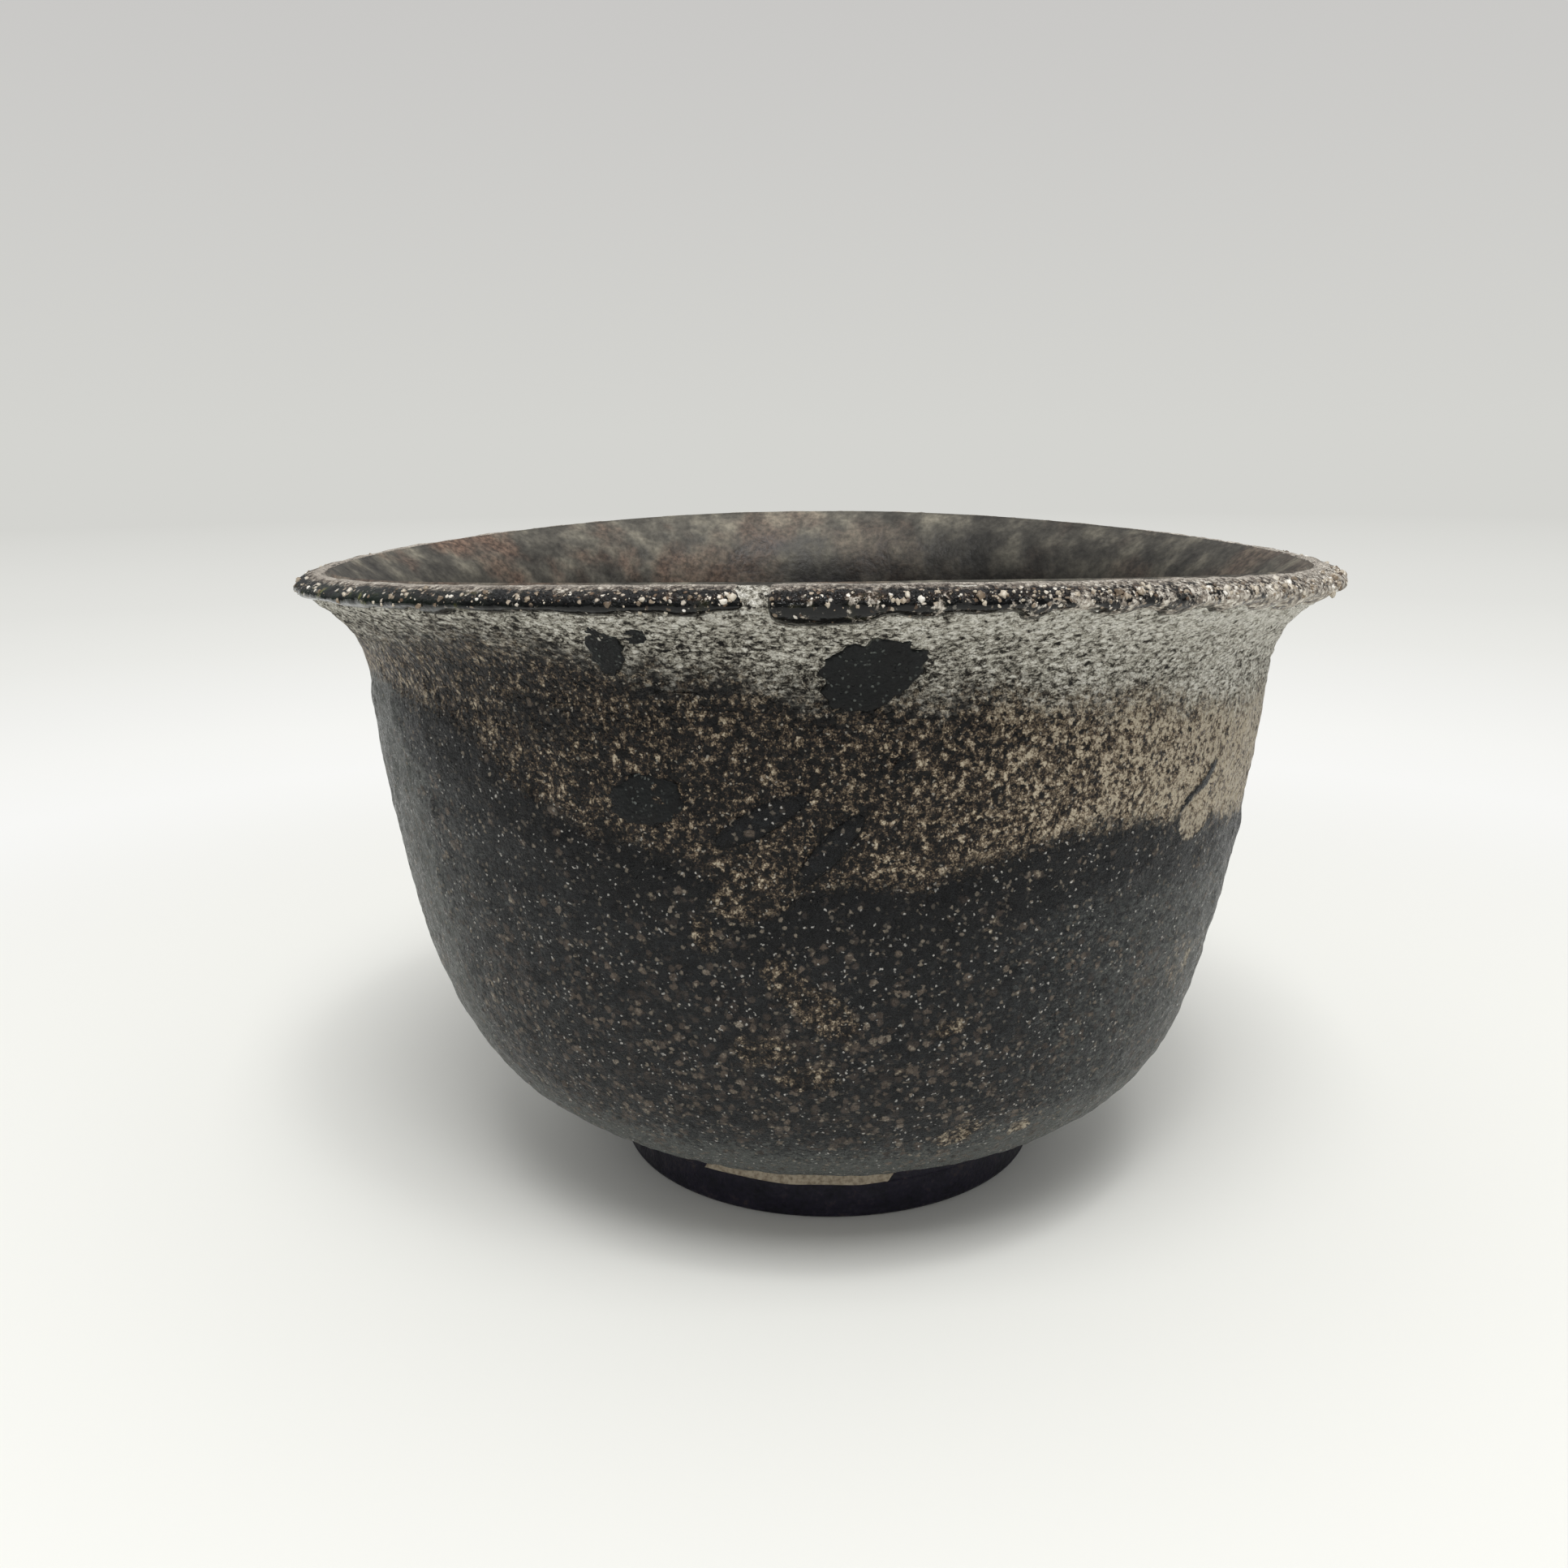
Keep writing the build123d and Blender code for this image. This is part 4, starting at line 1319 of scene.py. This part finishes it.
@dataclass
class GlazeDrops:
    """Dark drops that ran onto the wall, as low closed domes that follow it."""

    form: ThrownForm
    drops: tuple[Drop, ...] = (
        Drop(3.7, 44.2, 3.05, 2.0, 16, 0.26, True),
        Drop(-20.9, 45.7, 1.1, 1.6, -15, 0.1),
        Drop(-17.2, 46.5, 0.8, 0.5, 10, 0.1),
        Drop(-18.8, 36.8, 2.5, 1.5, 8, 0.07),
    )
    rings: int = 22
    spokes: int = 120
    sink_mm: float = 0.28
    edge: Lattice = Lattice(71)

    def dome(self, drop: Drop) -> tuple[Array, Array]:
        """Shape one drop as a grid of rings, from the top of the dome to the buried underside.

        The outline is an oval with a slow and a quick random wave. At a share s of the way
        to it, the dome stands at the thickness times the root of 1 less s to the sixth.

        Args:
            drop: The drop's sizes.

        Returns:
            Points in millimetres, rings by spokes by 3, and each ring's share.
        """
        spoke = np.linspace(0, 2 * np.pi, self.spokes, endpoint=False)[None, :]
        seat = np.stack((np.cos(spoke) * 3, np.sin(spoke) * 3, 0 * spoke + drop.turn), axis=-1)
        ragged = 1 + 0.12 * self.edge.field(seat, 2.2) + 0.13 * self.edge.layered(seat, 0.6)
        shares = np.linspace(0.02, 1, self.rings)[:, None] ** 0.7
        reach = np.vstack((shares, (0.99,), (0.6,), (0.02,)))
        rise = drop.thickness_mm * np.sqrt(1 - reach**6)
        rise[self.rings - 1 :] = -self.sink_mm
        rise[self.rings - 1] /= 2
        across = reach * ragged * drop.half_width_mm * np.cos(spoke)
        upwards = reach * ragged * drop.half_height_mm * np.sin(spoke)
        tilt = radians(drop.tilt)
        side = across * np.cos(tilt) - upwards * np.sin(tilt)
        height = drop.height_mm + across * np.sin(tilt) + upwards * np.cos(tilt)
        radius, level, out, up = self.form.outside(self.form.share_at(height))
        lift = rise + 0.02 * self.edge.field(seat + reach[..., None] * 5, 1.0)
        turn = drop.turn + np.degrees(side / radius)
        return self.form.place(turn, radius + lift * out, level + lift * up), shares

    def build(self) -> None:
        """Join the domes in one piece and dress it.

        The edge mark is a rimmed drop's share of the way to its outline, and 1.2 underneath.
        """
        points: list[Array] = []
        quads: list[Array] = []
        fans: list[Array] = []
        edges: list[Array] = []
        count = 0
        for drop in self.drops:
            dome, shares = self.dome(drop)
            skin, four_sided, three_sided = closed_skin(dome * MM, Wrap.POLES)
            points.append(skin)
            quads.append(four_sided + count)
            fans.append(three_sided + count)
            edge = np.append(np.repeat(np.append(shares, (1.2,) * 3), self.spokes), (0.0, 1.2))
            edges.append(edge * drop.rimmed)
            count += len(skin)
        arrays = (np.vstack(parts) for parts in (points, quads, fans))
        piece = mesh_piece("dark_drops", *arrays, {"edge": np.concatenate(edges)})
        dress(piece, DropFinish().material(), ("glaze_drops",))


@dataclass
class Foot:
    """The turned foot ring and the collar of slip over its joint with the bowl."""

    form: ThrownForm
    radius_mm: float = 17.4
    width_mm: float = 3.2
    draft_mm: float = 0.6
    height_mm: float = 4.7
    rounding_mm: float = 0.5
    collar_mm: float = 0.2
    collar_low_mm: float = 2.7
    collar_sink_mm: float = 0.12
    collar_back_mm: Stops = ((16.9, 2.7), (14.6, 4.72), (14.6, 5.06), (16.9, 5.08))
    bare_top_mm: float = 4.3
    bare_from: float = -31.5
    bare_to: float = 16.5
    bare_slant: float = 2.2
    columns: int = 420
    clay: Lattice = Lattice(83)

    def ring(self) -> Piece:
        """Make the ring: up its outside, over the joint, down the drafted inside, along the seat.

        The section is four straight runs with a quarter round at each lower corner.

        Returns:
            The foot ring.
        """
        outer, bevel, offset = self.radius_mm, self.rounding_mm, self.form.foot_offset_mm
        inner = outer - self.width_mm
        quarter = np.radians(np.linspace(0, 90, 7))
        rise = np.linspace(bevel, self.height_mm, 26)
        side, low = bevel * np.sin(quarter), bevel - bevel * np.cos(quarter)
        radius = np.concatenate((
            outer - bevel + side, np.full_like(rise, outer), np.linspace(outer - 0.6, inner, 3),
            (inner - self.draft_mm / self.height_mm * rise)[::-1], inner + bevel - side[::-1],
            np.linspace(inner + 0.9, outer - 0.9, 5),
        ))
        height = np.concatenate((low, rise, np.full(3, self.height_mm), rise[::-1], low[::-1], np.zeros(5)))
        radius, height, turn = radius[:, None], height[:, None], turns(self.columns)
        base = carried(turn, radius, height, offset)
        swing = 0.05 * self.clay.layered(base, 1.8) + 0.07 * self.clay.field(base, 9.0)
        lifted = ease(height, 0.02, 0.6) * ease(-height, -self.height_mm, -self.height_mm + 0.3)
        moved = carried(turn, radius + (swing - 0.04) * lifted, height, offset)
        return skin_piece("turned_foot", moved * MM, Wrap.RING, {"bare": np.zeros(moved.shape[:2])})

    def slip(self) -> Piece:
        """Make the collar: its face over the joint and a buried back, bare on one stretch.

        Returns:
            The collar of slip.
        """
        turn, low, offset = turns(self.columns * 2), self.collar_low_mm, self.form.foot_offset_mm
        height = np.linspace(self.form.neck_height_mm, low, 26)[:, None]
        face = carried(turn, self.radius_mm, height, offset)
        ragged = 0.35 * self.clay.layered(face, 3.0, (1, 1, 0.05))
        lag = ragged * 0.5
        out = self.collar_mm * ease(height, low + 0.05 + lag, low + 0.3 + lag)
        out = out - self.collar_sink_mm * (1 - ease(height, low, low + 0.15))
        aside = short_way(turn, (self.bare_from + self.bare_to) / 2)
        half = (self.bare_to - self.bare_from) / 2
        slanted = half - self.bare_slant * (self.bare_top_mm - height) * np.sign(aside)
        bare = ease(slanted - np.abs(aside), -0.4, 0.4)
        bare *= ease(self.bare_top_mm + ragged * 0.4 - height, -0.06, 0.06)
        out = out - 0.1 * bare + 0.015 * self.clay.field(face, 0.8)
        back = carried(turn, *np.array(self.collar_back_mm).T[..., None], offset)
        grid = np.concatenate((carried(turn, self.radius_mm + out, height, offset), back))
        marks = {"bare": np.concatenate((bare, np.zeros(back.shape[:2])))}
        return skin_piece("slip_collar", grid * MM, Wrap.RING, marks)

    def build(self) -> None:
        """Make and dress the ring and the collar."""
        skin = FootFinish().material()
        dress(self.ring(), skin, ("foot_ring",))
        dress(self.slip(), skin, ("luting_slip",))


@dataclass
class Studio:
    """The pale floor, the soft lights, the far background and the camera."""

    floor_radius_m: float = 4.0
    floor_columns: int = 64
    floor_colour: Triple = srgb(240, 240, 235)
    far_floor_painted_light: Ramp = (
        (0.0, 245, 245, 242), (0.1, 247, 247, 244), (0.16, 248, 248, 246), (0.2, 246, 246, 243),
        (0.25, 241, 241, 238), (0.33, 234, 234, 230), (0.46, 226, 226, 222), (0.7, 219, 219, 215),
        (1.0, 212, 212, 208),
    )
    sky: Ramp = ((0.0, 212, 212, 208), (0.25, 201, 200, 198))
    mirrored_room: Ramp = ((0.0, 69.28, 69.28, 72.11), (1.0, 217.85, 217.85, 217.85))
    ambient: float = 0.6
    camera_place_m: Triple = (-0.0027, -0.11846, 0.05841)
    pitch_down: float = 13.48
    roll: float = -0.5
    lens_mm: float = 33.67
    sensor_mm: float = 36.0
    near_clip_m: float = 0.005

    def floor(self) -> None:
        """Lay the floor: a flat disc of rings, closer together near the cup."""
        radius = (np.linspace(0.02, 1, 24) ** 2 * self.floor_radius_m)[:, None]
        grid = carried(turns(self.floor_columns), radius, 0.0)
        index = np.arange(grid[..., 0].size).reshape(grid.shape[:2])
        right = np.roll(index, -1, axis=1)
        quads = np.stack((index[:-1], index[1:], right[1:], right[:-1]), axis=-1).reshape(-1, 4)
        points = np.vstack((grid.reshape(-1, 3), (0, 0, 0)))
        middle = np.full(self.floor_columns, len(points) - 1)
        fan = np.stack((middle, index[0], right[0]), axis=-1)
        piece = mesh_piece("studio_floor", points, quads, fan, {})
        piece.data.materials.append(self.floor_finish())

    def floor_finish(self) -> bpy.types.Material:
        """Make the floor matt and pale near the cup, fading outwards into background colours that glow as
        painted light: brightest in a band round the cup, greyer further out.

        Returns:
            The material of the floor.
        """
        sheet = Sheet("studio_floor")
        distance = sheet.add("VectorMath", {0: sheet.place}, operation="LENGTH").outputs["Value"]
        matt = sheet.add("BsdfDiffuse", {"Color": self.floor_colour}).outputs[0]
        far = sheet.ramp(distance, self.far_floor_painted_light)
        # Painted light: the far floor glows in the ramp's colours, brightest a little way round the cup and
        # fading outwards.
        plain = sheet.add("Emission", {"Color": far, "Strength": 1.0}).outputs[0]
        share = sheet.span(distance, 0.075, 0.16)
        return sheet.close(sheet.add("MixShader", {0: share, 1: matt, 2: plain}), "OutputMaterial")

    def world(self) -> bpy.types.World:
        """Light from all round at a plain level, with grey gradients for the camera and for gloss.

        Returns:
            The world.
        """
        sheet = Sheet("studio", "worlds")
        up = sheet.add("SeparateXYZ", {0: sheet.places["Generated"]}).outputs["Z"]
        path = sheet.add("LightPath").outputs
        seen = sheet.add("Background", {"Color": sheet.ramp(up, self.sky)}).outputs[0]
        mirrored = sheet.add("Background", {"Color": sheet.ramp(up, self.mirrored_room)}).outputs[0]
        soft = sheet.add("Background", {"Color": (1.0, 1.0, 1.0), "Strength": self.ambient}).outputs[0]
        unseen = sheet.add("MixShader", {0: path["Is Glossy Ray"], 1: soft, 2: mirrored}).outputs[0]
        both = sheet.add("MixShader", {0: path["Is Camera Ray"], 1: unseen, 2: seen})
        return sheet.close(both, "OutputWorld")

    def hang(self, name: str, data: bpy.types.ID, place: Triple, facing: Quaternion) -> Piece:
        """Put a lamp or a camera into the scene.

        Args:
            name: Name of the object.
            data: The lamp or camera.
            place: Its place in metres.
            facing: Its rotation.

        Returns:
            The object.
        """
        piece = linked(name, data)
        piece.location = place
        piece.rotation_mode = "QUATERNION"
        piece.rotation_quaternion = facing
        return piece

    def lamp(self, name: str, place: Triple, size: float, watts: float) -> None:
        """Hang a square soft light that faces the cup.

        Args:
            name: Name of the light.
            place: Its place in metres.
            size: Its side in metres.
            watts: Its power.
        """
        data = bpy.data.lights.new(name, "AREA")
        data.size, data.energy = size, watts
        self.hang(name, data, place, (-Vector(place)).to_track_quat("-Z", "Y"))

    def camera(self) -> None:
        """Stand the camera where the picture was taken from."""
        data = bpy.data.cameras.new("camera")
        data.lens, data.sensor_width, data.clip_start = self.lens_mm, self.sensor_mm, self.near_clip_m
        level = Euler((radians(90 - self.pitch_down), 0, 0)).to_quaternion()
        facing = level @ Quaternion((0, 0, 1), radians(self.roll))
        bpy.context.scene.camera = self.hang("camera", data, self.camera_place_m, facing)

    def build(self) -> None:
        """Set the whole studio up."""
        self.floor()
        bpy.context.scene.world = self.world()
        self.lamp("key", (0.018, -0.266, 0.538), 0.27, 2.05)
        self.lamp("glint", (0.06, -0.2, 0.5), 0.05, 0.16)
        self.camera()


def main() -> None:
    """Build the cup's pieces in order, then the studio."""
    logging.basicConfig(level=logging.INFO, format="%(message)s")
    bpy.context.scene.view_settings.view_transform = "Standard"
    form = ThrownForm()
    for builder in (CupWall(form, FireMarks()), LipRoll(form), GlazeDrops(form), Foot(form), Studio()):
        builder.build()


if __name__ == "__main__":
    main()
